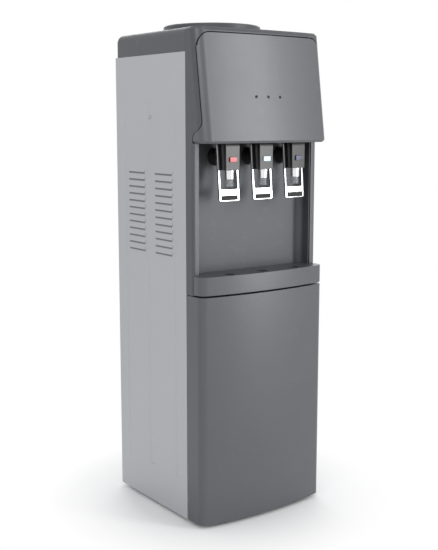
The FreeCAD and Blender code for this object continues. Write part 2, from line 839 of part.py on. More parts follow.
def hood_and_housing():
    """The control face with its lip, and the surround that carries on down as two columns."""
    block = hood_block("face_block", as_size(0), d.hood_level, cap_top, hood_rear)
    block = edge_eased("face_block_eased", block, d.hood_lip_round, d.hood_level)
    skin = d.hood_skin
    room = hood_block("face_room", skin, d.hood_level, cap_top, hood_rear + 1)
    slot = box("face_slot", (-half, half), (hood_front(d.hood_level) - 30, hood_rear + 2),
               (d.hood_level - 1, d.hood_level + d.hood_lip_round))
    lip_room = cut("face_lip_room", room, [slot])
    mouth = extruded("face_mouth", "z", [bowed(
        half - d.hood_lip, hood_front(d.hood_level) + d.hood_lip, hood_rear, d.hood_bow,
        d.hood_corner - d.hood_lip)], d.hood_level - 1, d.hood_level + d.hood_lip_round + 1)
    split = extruded("face_split", "x", [parting_outline(as_size(0), hood_rear)], -half - 5,
                     half + 5)
    outline = extruded("face_outline", "y", [face_outline(as_size(0))],
                       seam - d.door_reach - 60, seam)
    face = common("face_front", common("face_side", block, split), outline)
    leds = [prism("led_hole", 12, d.led_radius, 40, d.led_pitch * step, seam - 90,
                  d.led_level, "+y") for step in (-1, 0, 1)]
    keep(cut("face", face, [lip_room, mouth] + leds), "control_panel")

    gap = d.parting_gap
    upper = hood_block("housing_block", as_size(0), d.hood_level, cap_top, hood_rear)
    upper = edge_eased("housing_block_eased", upper, d.housing_top_round, cap_top)
    wide_split = extruded("housing_split", "x", [parting_outline(gap, hood_rear)],
                          -half - 5, half + 5)
    wide_outline = extruded("housing_outline", "y", [face_outline(gap)],
                            seam - d.door_reach - 60, seam)
    window = common("housing_window", wide_split, wide_outline)
    wall = d.plastic
    inner = hood_block("housing_room", wall, d.hood_level, cap_top - d.housing_top_round,
                       hood_rear + 1)
    top = cut("housing_top", upper, [window, inner])

    column_plan = [
        (-half, seam - d.column_reach + d.column_round, d.column_round),
        (-half + d.column_round, seam - d.column_reach),
        (half - d.column_round, seam - d.column_reach, d.column_round),
        (half, seam - d.column_reach + d.column_round),
        (half, seam), (-half, seam),
    ]
    columns = extruded("columns", "z", [column_plan], shelf_under, d.hood_level)
    niche = box("niche_way", (-niche_side, niche_side),
                (seam - d.column_reach - 5, seam + 5), (d.shelf_level, d.hood_level + 1))
    hollows = [box("column_hollow", (side[0], side[1]), (seam - d.column_reach + wall, seam + 1),
                   (d.shelf_level, d.hood_level + 1))
               for side in ((-half + wall, -niche_side - wall), (niche_side + wall, half - wall))]
    ledge = box("shelf_back", (-bay_width / 2, bay_width / 2),
                (seam - 1, seam + d.niche_depth + wall), (shelf_under, d.shelf_level))
    lower = cut("housing_columns", columns, [niche] + hollows)
    keep(fuse("housing", [top, lower, ledge]), "front_housing")


def splash_panel():
    """The niche lining: back, rounded inner corners, sides and roof in one moulding."""
    gap, wall = d.seat_gap, d.plastic
    side = niche_side - gap
    front = seam - d.column_reach + wall
    rear = seam + d.niche_depth
    bend = d.niche_round

    def plan(inset):
        x, y, radius = side - inset, rear + wall - inset, bend + wall - inset
        return [
            (-x, front), (x, front), (x, y - radius, radius), (x - radius, y),
            (-x + radius, y, radius), (-x, y - radius),
        ]

    outer = extruded("niche_outer", "z", [plan(as_size(0))], d.shelf_level, d.niche_roof)
    inner = extruded("niche_inner", "z", [plan(wall)], d.shelf_level - 1, d.niche_roof - wall)
    holes = [prism("tap_hole", 8, d.tap_shank_radius + 0.3, 20, d.tap_pitch * step,
                   rear - 5, d.tap_level, "+y") for step in (-1, 0, 1)]
    keep(cut("niche", outer, [inner] + holes), "splash_panel")


def display():
    """Indicator lenses behind the control face, on their board."""
    face_y = hood_front(d.led_level) - d.hood_bow
    lenses = [prism("lens", 12, d.led_radius - d.lens_gap, d.lens_length, d.led_pitch * step,
                    face_y + 1, d.led_level, "+y") for step in (-1, 0, 1)]
    keep(group("lens_set", lenses), "led_lenses")
    board_y = face_y + 1 + d.lens_length
    board = box("board", (-d.led_pitch - 14, d.led_pitch + 14), (board_y, board_y + 1.6),
                (d.led_level - 12, d.led_level + 12))
    post = board_y - face_y - d.hood_skin - 1
    posts = [box("board_post", (x - 2, x + 2), (board_y - post, board_y + 0.5),
                 (d.led_level - 2, d.led_level + 2))
             for x in (-d.led_pitch - 10, d.led_pitch + 10)]
    keep(fuse("board_with_posts", [board] + posts), "display_board")


# ---------------------------------------------------------------- door and drip tray

def door():
    """Bowed door skin, its recessed inner panel, and the hinge it turns on."""
    front = seam - d.door_reach + d.door_bow
    rear = seam - d.door_seam
    wall = d.plastic
    axis_x, axis_y = half - d.hinge_inset, seam - d.hinge_reach
    length = d.hinge_pin_length
    bore = d.hinge_pin_radius + d.hinge_running
    outer = extruded("door_outer", "z", [bowed(half, front, rear, d.door_bow, d.door_corner)],
                     door_low, door_high)
    room = extruded("door_room", "z", [bowed(half - wall, front + wall, rear + 1, d.door_bow,
                                             d.door_corner - wall)],
                    door_low + wall, door_high - wall)
    hollow = cut("door_hollow", outer, [room])
    bosses = [cylinder("door_boss", d.hinge_boss_radius, length + 1, axis_x, axis_y, low)
              for low in (door_low, door_high - length - 1)]
    ways = [cylinder("door_pin_way", bore, length + 1, axis_x, axis_y, low)
            for low in (door_low - 1, door_high - length)]
    keep(cut("door_body", fuse("door_bossed", [hollow] + bosses), ways), "door_skin")

    gap = d.seat_gap
    side = half - wall - gap
    low, high = door_low + wall + gap, door_high - wall - gap
    margin = d.liner_margin
    plate = box("liner_plate", (-side, side), (rear - d.liner, rear), (low, high))
    pan = box("liner_pan", (-side + margin, side - margin),
              (rear - d.door_recess, rear - d.liner), (low + margin, high - margin))
    scoop = box("liner_scoop", (-side + margin + d.liner, side - margin - d.liner),
                (rear - d.door_recess + d.liner, rear + 1),
                (low + margin + d.liner, high - margin - d.liner))
    strike_x = -bay_width / 2 + d.liner
    strike = box("strike", (strike_x, strike_x + 10), (rear - 1, rear + 1.2),
                 (d.catch_level - 25, d.catch_level + 25))
    keep(cut("door_liner_body", fuse("door_liner_solid", [plate, pan, strike]), [scoop]),
         "door_liner")
    keep(box("catch", (strike_x, strike_x + 9), (rear + 1.8, seam + 14),
             (d.catch_level - 20, d.catch_level + 20)), "door_catch")

    foot_plate = box("bracket_plate", (axis_x - 22, axis_x + 6), (axis_y - 8, seam + 26),
                     (foot - d.bracket_steel, foot))
    low_pin = cylinder("bracket_pin", d.hinge_pin_radius, door_low - foot + length - 1,
                       axis_x, axis_y, foot)
    top_plate = box("bracket_top", (axis_x - 22, axis_x + 6), (axis_y - 5, seam - d.door_seam),
                    (shelf_under - 1, shelf_under))
    top_pin = cylinder("bracket_top_pin", d.hinge_pin_radius, d.door_gap + length - 2,
                       axis_x, axis_y, door_high - length + 1)
    keep(group("bracket_set", [fuse("bracket_low", [foot_plate, low_pin]),
                               fuse("bracket_high", [top_plate, top_pin])]), "hinge_brackets")


def drip_tray():
    """Pull-out drip tray with a bowed front and a lift-off cover with three drains."""
    front = seam - d.door_reach + d.door_bow
    ahead = seam - d.column_reach - d.parting_gap
    rear = seam + d.niche_depth - d.seat_gap
    inner_side = niche_side - d.plastic - d.seat_gap * 2
    low = d.shelf_level + d.seat_gap

    def body(name, inset, base, top):
        """The tray's two-part outline, drawn in all round by inset."""
        nose = extruded(name + "_nose", "z", [bowed(half - inset, front + inset, ahead - inset,
                                                    d.door_bow, d.door_corner - inset)], base, top)
        x, y, radius = inner_side - inset, rear - inset, d.niche_round - inset
        tail = extruded(name + "_tail", "z", [[
            (-x, ahead - inset - 2), (x, ahead - inset - 2), (x, y - radius, radius),
            (x - radius, y), (-x + radius, y, radius), (-x, y - radius),
        ]], base, top)
        return fuse(name, [nose, tail])

    shell = body("tray_shell", as_size(0), low, tray_top)
    room = body("tray_room", d.tray_rim + d.plastic, low + d.plastic, tray_top + 1)
    rebate = body("tray_rebate", d.tray_rim, tray_top - d.grille_thickness, tray_top + 1)
    keep(cut("tray", shell, [room, rebate]), "drip_tray")

    cover = body("grille_cover", d.tray_rim + d.seat_gap, tray_top - d.grille_thickness, tray_top)
    drains = []
    for step in (-1, 0, 1):
        x, y = d.tap_pitch * step, seam - d.drain_reach
        ring = prism("drain", 24, d.drain_radius, d.grille_thickness * 3, x, y,
                     tray_top - d.grille_thickness * 2)
        bars = [box("drain_bar", (x + d.drain_bar * (shift - 0.5), x + d.drain_bar * (shift + 0.5)),
                    (y - d.drain_radius, y + d.drain_radius),
                    (tray_top - d.grille_thickness * 2, tray_top - 1))
                for shift in (-3, 0, 3)]
        drains.append(cut("drain_way", ring, bars))
    keep(cut("grille", cover, drains), "drip_grille")


# ---------------------------------------------------------------- taps

def taps():
    """Three push taps: block and barrel, chromed spout, clear sleeve, coloured tag, lever."""
    wall_y = seam + d.niche_depth
    front = seam - d.tap_reach
    block_rear = front + d.tap_block_depth
    spout_y = seam - d.drain_reach
    pivot_y, pivot_z = seam - d.lever_pivot_reach, d.lever_pivot_level
    gap = d.seat_gap
    spouts, sleeves, nuts, pins = [], [], [], []
    for step, kind in ((-1, "hot"), (0, "warm"), (1, "cold")):
        x = d.tap_pitch * step
        side_view = [
            (front, d.tap_bottom), (block_rear, d.tap_bottom), (block_rear, d.tap_top),
            (front + 5, d.tap_top), (front, d.tap_top - 22),
        ]
        block = extruded(kind + "_block", "x", [side_view], x - d.tap_width / 2,
                         x + d.tap_width / 2)
        eased(block, as_size(1.5), lambda edge: along(edge, "z")
              and near(edge, y=front))
        collar_y = wall_y - gap - d.collar_length
        barrel = prism(kind + "_barrel", 24, d.tap_barrel_radius, collar_y - block_rear + 2,
                       x, block_rear - 2, d.tap_level, "+y")
        shank = prism(kind + "_shank", 8, d.tap_shank_radius, wall_y + 24 - collar_y + 2,
                      x, collar_y - 2, d.tap_level, "+y")
        collar = prism(kind + "_collar", 24, d.tap_nut_radius, d.collar_length, x, collar_y,
                       d.tap_level, "+y")
        pocket = box(kind + "_pocket",
                     (x - d.tag_width / 2 - gap, x + d.tag_width / 2 + gap),
                     (front - 1, front + d.tag_depth + gap),
                     (d.tag_level - d.tag_height / 2 - gap, d.tag_level + d.tag_height / 2 + gap))
        cross = prism(kind + "_pin_way", 16, d.lever_pin_radius, d.tap_width + 2,
                      x - d.tap_width / 2 - 1, pivot_y, pivot_z, "+x")
        keep(cut(kind + "_tap", fuse(kind + "_tap_solid", [block, barrel, collar, shank]),
                 [pocket, cross]), "tap_body_" + kind)

        travel = d.lock_travel if kind == "hot" else as_size(0)
        tag = box(kind + "_tag", (x - d.tag_width / 2, x + d.tag_width / 2),
                  (front - d.tag_proud, front + d.tag_depth - travel),
                  (d.tag_level - d.tag_height / 2, d.tag_level + d.tag_height / 2))
        keep(tag, "lock_button_hot" if kind == "hot" else "tap_tag_" + kind)

        ring = d.spout_radius
        low = d.tap_bottom - d.spout_drop
        bore = ring - d.spout_wall
        spouts.append(cut(kind + "_spout", prism(
            kind + "_nozzle", 24, ring, d.spout_drop, x, spout_y, low), [prism(
                kind + "_nozzle_bore", 24, bore, d.spout_drop + 2, x, spout_y, low - 1)]))
        sleeve_low = low - d.sleeve_drop
        sleeve_tall = d.sleeve_drop + d.sleeve_grip
        sleeves.append(cut(kind + "_sleeve", prism(
            kind + "_hose", 16, bore - gap, sleeve_tall, x, spout_y, sleeve_low), [prism(
                kind + "_hose_bore", 16, bore - gap - d.sleeve_wall, sleeve_tall + 2, x, spout_y,
                sleeve_low - 1)]))
        nut = doc.addObject("Part::Prism", kind + "_nut")
        bind(nut, Polygon=6, Circumradius=d.tap_nut_radius - 3, Height=6)
        place(nut, x, wall_y + d.plastic + gap, d.tap_level, "+y")
        hole = prism(kind + "_nut_way", 8, d.tap_shank_radius, 8, x, wall_y + d.plastic,
                     d.tap_level, "+y")
        nuts.append(cut(kind + "_hex_nut", nut, [hole]))
        pins.append(prism(kind + "_lever_pin", 16, d.lever_pin_radius, d.lever_width,
                          x - d.lever_width / 2, pivot_y, pivot_z, "+x"))
        lever(kind, x, pivot_y, pivot_z)
    keep(group("spout_set", spouts), "tap_spouts")
    keep(group("sleeve_set", sleeves), "spout_sleeves")
    keep(group("nut_set", nuts), "tap_nuts")
    keep(group("pin_set", pins), "lever_pins")


def lever(kind, x, pivot_y, pivot_z):
    """A chromed frame that hangs from the pin on both sides of a tap, with a black pad."""
    out = d.lever_width / 2
    arm = out - d.lever_arm
    low, bar = d.paddle_bottom - pivot_z, d.paddle_top - pivot_z
    bend = as_size(4)
    frame = [
        (-out + bend, low), (out - bend, low, bend), (out, low + bend),
        (out, 0), (arm, 0), (arm, bar + bend, -bend), (arm - bend, bar),
        (-arm + bend, bar, -bend), (-arm, bar + bend), (-arm, 0), (-out, 0),
        (-out, low + bend, bend),
    ]
    plate = extruded(kind + "_frame", "y", [frame], -d.lever_depth / 2, d.lever_depth / 2)
    eye = d.lever_depth / 2 + 1.5
    eyes = [box(kind + "_eye", (arm * side, out * side) if side > 0 else (-out, -arm),
                (-eye, eye), (-eye, eye)) for side in (-1, 1)]
    ways = prism(kind + "_eye_way", 16, d.lever_pin_radius + d.lever_running,
                 d.lever_width + 2, -out - 1, 0, 0, "+x")
    pad_z = low + 3.5
    slot = box(kind + "_slot", (-d.pad_length / 2, d.pad_length / 2),
               (-d.lever_depth / 2 - 1, -d.lever_depth / 2 + 2), (pad_z, pad_z + d.pad_height))
    whole = cut(kind + "_lever", fuse(kind + "_lever_solid", [plate] + eyes), [slot, ways])
    pad = box(kind + "_pad", (-d.pad_length / 2, d.pad_length / 2),
              (-d.lever_depth / 2 + 0.4, -d.lever_depth / 2 + 2), (pad_z, pad_z + d.pad_height))
    for part, node in ((whole, "tap_lever_"), (pad, "lever_pad_")):
        hung = leaned(group(kind + node, [part]), x, pivot_y, pivot_z, d.lever_lean)
        keep(hung, node + kind)


# ---------------------------------------------------------------- tubes and condenser

def swept(points, bends, radius, sides):
    """A bar of a few flat sides along straight runs, each bend drawn as two short chords."""
    corners = [Vector(*(float(value) for value in point)) for point in points]
    path = corners[:1]
    for before, corner, after, bend in zip(corners, corners[1:], corners[2:], bends):
        into = (corner - before).normalize()
        out = (after - corner).normalize()
        turn = into.getAngle(out)
        leg = float(bend) * math.tan(turn / 2)
        inward = (out - into).normalize()
        middle = corner + inward * (float(bend) / math.cos(turn / 2) - float(bend))
        for at in (corner - into * leg, middle, corner + out * leg):
            if (at - path[-1]).Length > 0.01:
                path.append(at)
    path.append(corners[-1])
    heading = path[1] - path[0]
    across = heading.cross(Vector(0, 0, 1))
    if across.Length < 0.01:
        across = Vector(1, 0, 0)
    across = across.normalize() * float(radius)
    ring = [path[0] + Rotation(heading, 360 / sides * step).multVec(across)
            for step in range(sides)]
    outline = Part.makePolygon(ring + ring[:1])
    return Part.makePolygon(path).makePipeShell([outline], True, False, 1)


def tube(name, points, bend, radius):
    """A bent tube drawn as a closed bar, all its corners with the same bend radius."""
    return solid_feature(name, swept(points, [bend] * (len(points) - 2), radius, 8))


def condenser():
    """Serpentine coil on the back, the wires across it and the clips that hold it off."""
    side = coil_end_side
    tip_y = back - 14
    passes = int(float(d.coil_passes))
    points = [(-side, tip_y, d.coil_level), (-side, coil_y, d.coil_level)]
    for step in range(passes):
        level = d.coil_level + d.coil_pitch * step
        heading = 1 if step % 2 == 0 else -1
        if step:
            points.append((-side * heading, coil_y, level))
        points.append((side * heading, coil_y, level))
    points.append((side, tip_y, coil_top))
    bends = [9] + [d.coil_pitch / 2] * (len(points) - 4) + [9]
    keep(solid_feature("coil", swept(points, bends, d.coil_radius, 6)), "condenser_coil")

    wires = []
    pitch = d.coil_half * 2 / (d.wire_count - 1)
    reach = d.coil_radius + d.wire_radius
    low, high = d.coil_level - 12, coil_top + 12
    for column in range(int(float(d.wire_count))):
        for face in (-1, 1):
            x, y = -d.coil_half + pitch * column, coil_y + reach * face
            wires.append(box("wire", (x - d.wire_radius, x + d.wire_radius),
                             (y - d.wire_radius, y + d.wire_radius), (low, high)))
    keep(group("wire_set", wires), "condenser_wires")

    clips = []
    thick = d.steel
    lip_y = coil_y + d.coil_radius
    for step in (1, passes - 2):
        base = d.coil_level + d.coil_pitch * step - d.coil_radius - thick
        outline = [
            (rear_face, base), (lip_y + thick, base), (lip_y + thick, base + thick + 3),
            (lip_y, base + thick + 3), (lip_y, base + thick), (rear_face + thick, base + thick),
            (rear_face + thick, base + 20), (rear_face, base + 20),
        ]
        for side in (-1, 1):
            middle = (d.coil_half - pitch / 2) * side
            clips.append(extruded("coil_clip", "x", [outline], middle - 6, middle + 6))
    keep(group("clip_set", clips), "condenser_brackets")


# ---------------------------------------------------------------- machinery

def compressor():
    """Sealed compressor can on a foot plate that rests on four rubber grommets."""
    x, y = as_size(d.compressor_side), seam + d.compressor_back
    plate_z = deck + d.grommet_height
    can_z = plate_z + d.compressor_foot
    radius, tall = d.compressor_radius, d.compressor_height
    dome = d.compressor_dome
    can = prism("compressor_can", 24, radius, tall - dome, x, y, can_z)
    top = prism("compressor_dome", 24, radius - dome / 2, tall, x, y, can_z)
    reach_x, reach_y = d.compressor_bolt_side + 8, d.compressor_bolt_reach + 8
    plate = box("compressor_plate", (x - reach_x, x + reach_x), (y - reach_y, y + reach_y),
                (plate_z, can_z))
    corners = [(x + d.compressor_bolt_side * i, y + d.compressor_bolt_reach * j)
               for i in (-1, 1) for j in (-1, 1)]
    keep(fuse("compressor_body", [can, top, plate]), "compressor")
    grommets = [prism("grommet", 12, d.grommet_radius, d.grommet_height, px, py, deck) for px, py in corners]
    keep(group("grommet_set", grommets), "compressor_grommets")


def tanks():
    """Open cold tank in its insulation, and the closed hot tank with its drain."""
    radius, wall = d.cold_tank_radius, as_size(1.2)
    tall = d.cold_tank_height
    rim = d.well_radius + 4
    pot = prism("cold_pot_body", 36, radius, tall, 0, lid_centre, tank_floor)
    brim = prism("cold_pot_brim", 36, rim, 2, 0, lid_centre, tank_floor + tall - 2)
    room = prism("cold_pot_room", 36, radius - wall, tall, 0, lid_centre, tank_floor + wall)
    keep(cut("cold_pot", fuse("cold_pot_solid", [pot, brim]), [room]), "cold_tank")

    gap = d.seat_gap
    outer = radius + d.insulation_wall
    coat_height = tall + d.insulation_floor - 2 - gap
    coat = prism("insulation_coat", 24, outer, coat_height, 0, lid_centre, shelf_top)
    ways = [prism("insulation_room", 24, radius + 1, coat_height, 0, lid_centre, tank_floor)]
    for side in outlets:
        ways.append(prism("insulation_way", 8, d.tube_radius + 1, d.insulation_floor + 2, side,
                          lid_centre, shelf_top - 1))
    keep(cut("insulation", coat, ways), "tank_insulation")

    x, y = -d.hot_tank_side, seam + d.hot_tank_back
    radius, tall = d.hot_tank_radius, d.hot_tank_height
    keep(prism("hot_vessel", 24, radius, tall, x, y, deck), "hot_tank")
    pipe = prism("drain_pipe", 16, d.waste_radius, rear_face + d.drain_reach_out - y, x, y, d.drain_level, "+y")
    seat = prism("drain_seat", 24, radius, 60, x, y, deck)
    keep(cut("drain", pipe, [seat]), "drain_port")
    room = d.drain_cap_depth
    plug_y = rear_face + d.drain_reach_out - room
    plug = prism("drain_plug", 24, d.drain_cap_radius, d.drain_cap_length, x, plug_y, d.drain_level, "+y")
    mouth = prism("drain_plug_mouth", 16, d.waste_radius + 0.08, room + 1, x, plug_y - 1,
                  d.drain_level, "+y")
    keep(cut("drain_cap_body", plug, [mouth]), "drain_cap")


def plumbing():
    """Pump and the tubes from the probe to the tank and from the tanks to the taps."""
    x, y = as_size(d.pump_side), seam + d.pump_reach
    axis_z = deck + 30
    can = prism("pump_can", 16, d.pump_radius, d.pump_length, x - 30, y, axis_z, "+x")
    cradle = box("pump_cradle", (x - 20, x + 20), (y - 16, y + 16), (deck, axis_z - 4))
    outlet = prism("pump_outlet", 12, 7, 26, x, y, axis_z)
    keep(fuse("pump", [can, cradle, outlet]), "water_pump")

    radius = d.tube_radius
    side, reach = -d.neck_side, seam + d.neck_reach
    alley = as_size(-18)
    keep(tube("suction", [
        (side, reach, d.probe_level + d.probe_cap_height + 6), (side, reach, axis_z),
        (alley, reach, axis_z), (alley, y, axis_z), (x - 30, y, axis_z),
    ], 14, radius), "suction_tube")
    over = deck + 193
    keep(tube("fill", [
        (x, y, axis_z + 26), (x, y, over), (x, lid_centre, over), (x, lid_centre, tank_floor),
    ], 14, radius), "fill_tube")

    shank_end = tap_wall + 24
    hot_y = seam + d.hot_tank_back
    hot_top = deck + d.hot_tank_height
    runs = [
        [(-d.hot_tank_side, hot_y, hot_top), (-d.hot_tank_side, hot_y, d.tap_level),
         (-d.tap_pitch, shank_end, d.tap_level)],
        [(outlets[0], lid_centre, tank_floor), (outlets[0], lid_centre, hot_top + 40),
         (-d.hot_tank_side + 28, hot_y, hot_top + 40), (-d.hot_tank_side + 28, hot_y, hot_top)],
        [(outlets[1], lid_centre, tank_floor), (outlets[1], lid_centre, d.tap_level),
         (0, lid_centre - 50, d.tap_level), (0, shank_end, d.tap_level)],
        [(outlets[2], lid_centre, tank_floor), (outlets[2], lid_centre, d.tap_level),
         (d.tap_pitch, lid_centre - 50, d.tap_level), (d.tap_pitch, shank_end, d.tap_level)],
    ]
    keep(group("tap_tube_set", [tube("tap_tube", run, 12, radius) for run in runs]),
         "tap_tubes")


def rear_fittings():
    """Inlet gland, the two rocker switches in their bezels, and the cabinet screws."""
    gap = d.seat_gap
    grip = gland_neck + 3
    neck = prism("gland_neck", 16, gland_neck, 8, d.gland_side, back - 3, d.drain_level, "+y")
    nut = prism("gland_nut", 6, grip, 3, d.gland_side, back - 3, d.drain_level, "+y")
    face = prism("gland_face", 24, grip, 5, d.gland_side, rear_face, d.drain_level, "+y")
    keep(fuse("gland", [neck, nut, face]), "cord_gland")

    pivot_y = rear_face - 3
    wide, tall = d.switch_width / 2, as_size(d.switch_height)
    bezels = []
    for side, node in ((-1, "hot_switch"), (1, "cold_switch")):
        x = d.switch_pitch / 2 * side - half / 2
        flange = box("bezel_flange", (x - wide - 2, x + wide + 2), (rear_face, rear_face + 1.5),
                     (d.switch_level - tall - 2, d.switch_level + tall + 2))
        sleeve = box("bezel_sleeve", (x - wide + 0.1, x + wide - 0.1),
                     (rear_face - 11, rear_face + 1),
                     (d.switch_level - tall + 0.1, d.switch_level + tall - 0.1))
        room = box("bezel_room", (x - wide + 1.5, x + wide - 1.5), (rear_face - 10, rear_face + 3),
                   (d.switch_level - tall + 0.8, d.switch_level + tall - 0.8))
        way = prism("bezel_way", 8, 1.35, d.switch_width - 1, x - wide + 0.5, pivot_y,
                    d.switch_level, "+x")
        bezels.append(cut("bezel", fuse("bezel_body", [flange, sleeve]), [room, way]))
        outline = [
            (-4, -5), (7, -10.5), (5, 0), (4, 10.5), (-4, 5),
        ]
        rocker = extruded("rocker", "x", [outline], -wide + 1.9, wide - 1.9)
        pin = prism("rocker_pin", 8, 1.2, d.switch_width - 1.6, -wide + 0.8, 0, 0, "+x")
        key = fuse("rocker_key", [rocker, pin])
        keep(place(key, x, pivot_y, d.switch_level), node)
    keep(group("bezel_set", bezels), "switch_bezels")

    head = d.screw_head_radius
    screws = []
    for side, facing in ((-1, "-x"), (1, "+x")):
        screws.append(prism("side_screw", 8, head, d.screw_head_height,
                            (half - d.swage_depth) * side, side_screw_y, d.side_screw_level,
                            facing))
        for level in screw_levels:
            screws.append(prism("rear_screw", 8, head, d.screw_head_height,
                                (half - d.screw_inset) * side, rear_face, level, "+y"))
    keep(group("screw_set", screws), "cabinet_screws")


# ---------------------------------------------------------------- check and write

side_panels()
base_and_feet()
rear_and_decks()
bottle_bay()
top_cover_and_lid()
hood_and_housing()
splash_panel()
display()
door()
drip_tray()
taps()
condenser()
compressor()
tanks()
plumbing()
rear_fittings()
doc.recompute()

for item in doc.Objects:
    if {"Invalid", "Error"} & set(item.State):
        raise RuntimeError("%s: %s" % (item.Name, item.State))
for part in finished:
    if part.Shape.isNull() or not part.Shape.isValid():
        raise RuntimeError("bad shape: " + part.Label)
os.makedirs("parts", exist_ok=True)
for part in finished:
    part.Shape.exportStep("parts/%s.step" % part.Label)
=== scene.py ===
"""Dressed model of a tall free-standing water cooler: finishes, refined pieces, light, camera."""
import logging
import math
from dataclasses import dataclass, field
from enum import Enum
from typing import Any, Callable, ClassVar, Dict, Iterable, List, Optional, Sequence, Tuple, Union

import bpy
from mathutils import Euler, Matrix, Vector

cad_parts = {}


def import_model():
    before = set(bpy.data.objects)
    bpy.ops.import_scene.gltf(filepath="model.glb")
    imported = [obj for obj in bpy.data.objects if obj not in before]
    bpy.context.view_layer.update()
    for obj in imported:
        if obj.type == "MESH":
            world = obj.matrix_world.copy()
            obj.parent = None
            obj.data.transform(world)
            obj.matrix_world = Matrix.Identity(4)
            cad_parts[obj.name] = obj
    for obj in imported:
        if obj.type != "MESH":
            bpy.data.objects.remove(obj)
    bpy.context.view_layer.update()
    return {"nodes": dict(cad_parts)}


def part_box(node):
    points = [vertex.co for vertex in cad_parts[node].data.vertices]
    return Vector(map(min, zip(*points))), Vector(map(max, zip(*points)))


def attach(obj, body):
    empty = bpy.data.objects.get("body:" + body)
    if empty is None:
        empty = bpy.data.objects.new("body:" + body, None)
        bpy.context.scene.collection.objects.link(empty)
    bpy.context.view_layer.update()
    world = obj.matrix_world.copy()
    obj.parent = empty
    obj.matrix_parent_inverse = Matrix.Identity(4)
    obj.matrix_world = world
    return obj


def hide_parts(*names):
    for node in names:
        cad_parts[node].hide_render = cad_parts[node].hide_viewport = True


LOG = logging.getLogger("water_cooler")
MM = 0.001
Colour = Tuple[float, float, float]
Triple = Tuple[float, float, float]
Span = Tuple[float, float]


class Axis(Enum):
    """Directions that a round piece can stand along, as turns about X, Y and Z."""

    X = (0.0, math.pi / 2, 0.0)
    MINUS_X = (0.0, -math.pi / 2, 0.0)
    Y = (-math.pi / 2, 0.0, 0.0)
    Z = (0.0, 0.0, 0.0)


FRAME: Dict[str, Any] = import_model()
FRONT_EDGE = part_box("left_side_panel")[0].y


# ---------------------------------------------------------------- shader expressions


class Wire:
    """A socket that can be used in a Python expression."""

    def __init__(self, graph: "Graph", socket: bpy.types.NodeSocket) -> None:
        """Keep the socket and the graph that it belongs to."""
        self.graph = graph
        self.socket = socket

    def _math(self, operation: str, first: "Term", second: "Term" = 0.0) -> "Wire":
        """Add a Math node for one operation."""
        return self.graph.node("ShaderNodeMath", {"operation": operation}, {0: first, 1: second})

    def __add__(self, other: "Term") -> "Wire":
        """Sum of two values."""
        return self._math("ADD", self, other)

    def __radd__(self, other: "Term") -> "Wire":
        """Sum with the wire on the right."""
        return self._math("ADD", other, self)

    def __sub__(self, other: "Term") -> "Wire":
        """Difference of two values."""
        return self._math("SUBTRACT", self, other)

    def __rsub__(self, other: "Term") -> "Wire":
        """Difference with the wire on the right."""
        return self._math("SUBTRACT", other, self)

    def __mul__(self, other: "Term") -> "Wire":
        """Product of two values."""
        return self._math("MULTIPLY", self, other)

    def __rmul__(self, other: "Term") -> "Wire":
        """Product with the wire on the right."""
        return self._math("MULTIPLY", other, self)

    def above(self, limit: float) -> "Wire":
        """1 where the value is above the limit, otherwise 0."""
        return self._math("GREATER_THAN", self, limit)

    def below(self, limit: float) -> "Wire":
        """1 where the value is below the limit, otherwise 0."""
        return self._math("LESS_THAN", self, limit)

    def within(self, low: float, high: float) -> "Wire":
        """1 where the value lies between two limits, otherwise 0."""
        return self.above(low) * self.below(high)

    def fraction(self) -> "Wire":
        """What is left of the value past its last whole number."""
        return self._math("FRACT", self)

    def clamped(self) -> "Wire":
        """The value held between 0 and 1."""
        return self._math("MINIMUM", self._math("MAXIMUM", self, 0.0), 1.0)

    def wave(self) -> "Wire":
        """Sine of the value."""
        return self._math("SINE", self)


Term = Union[Wire, float, Sequence[float]]


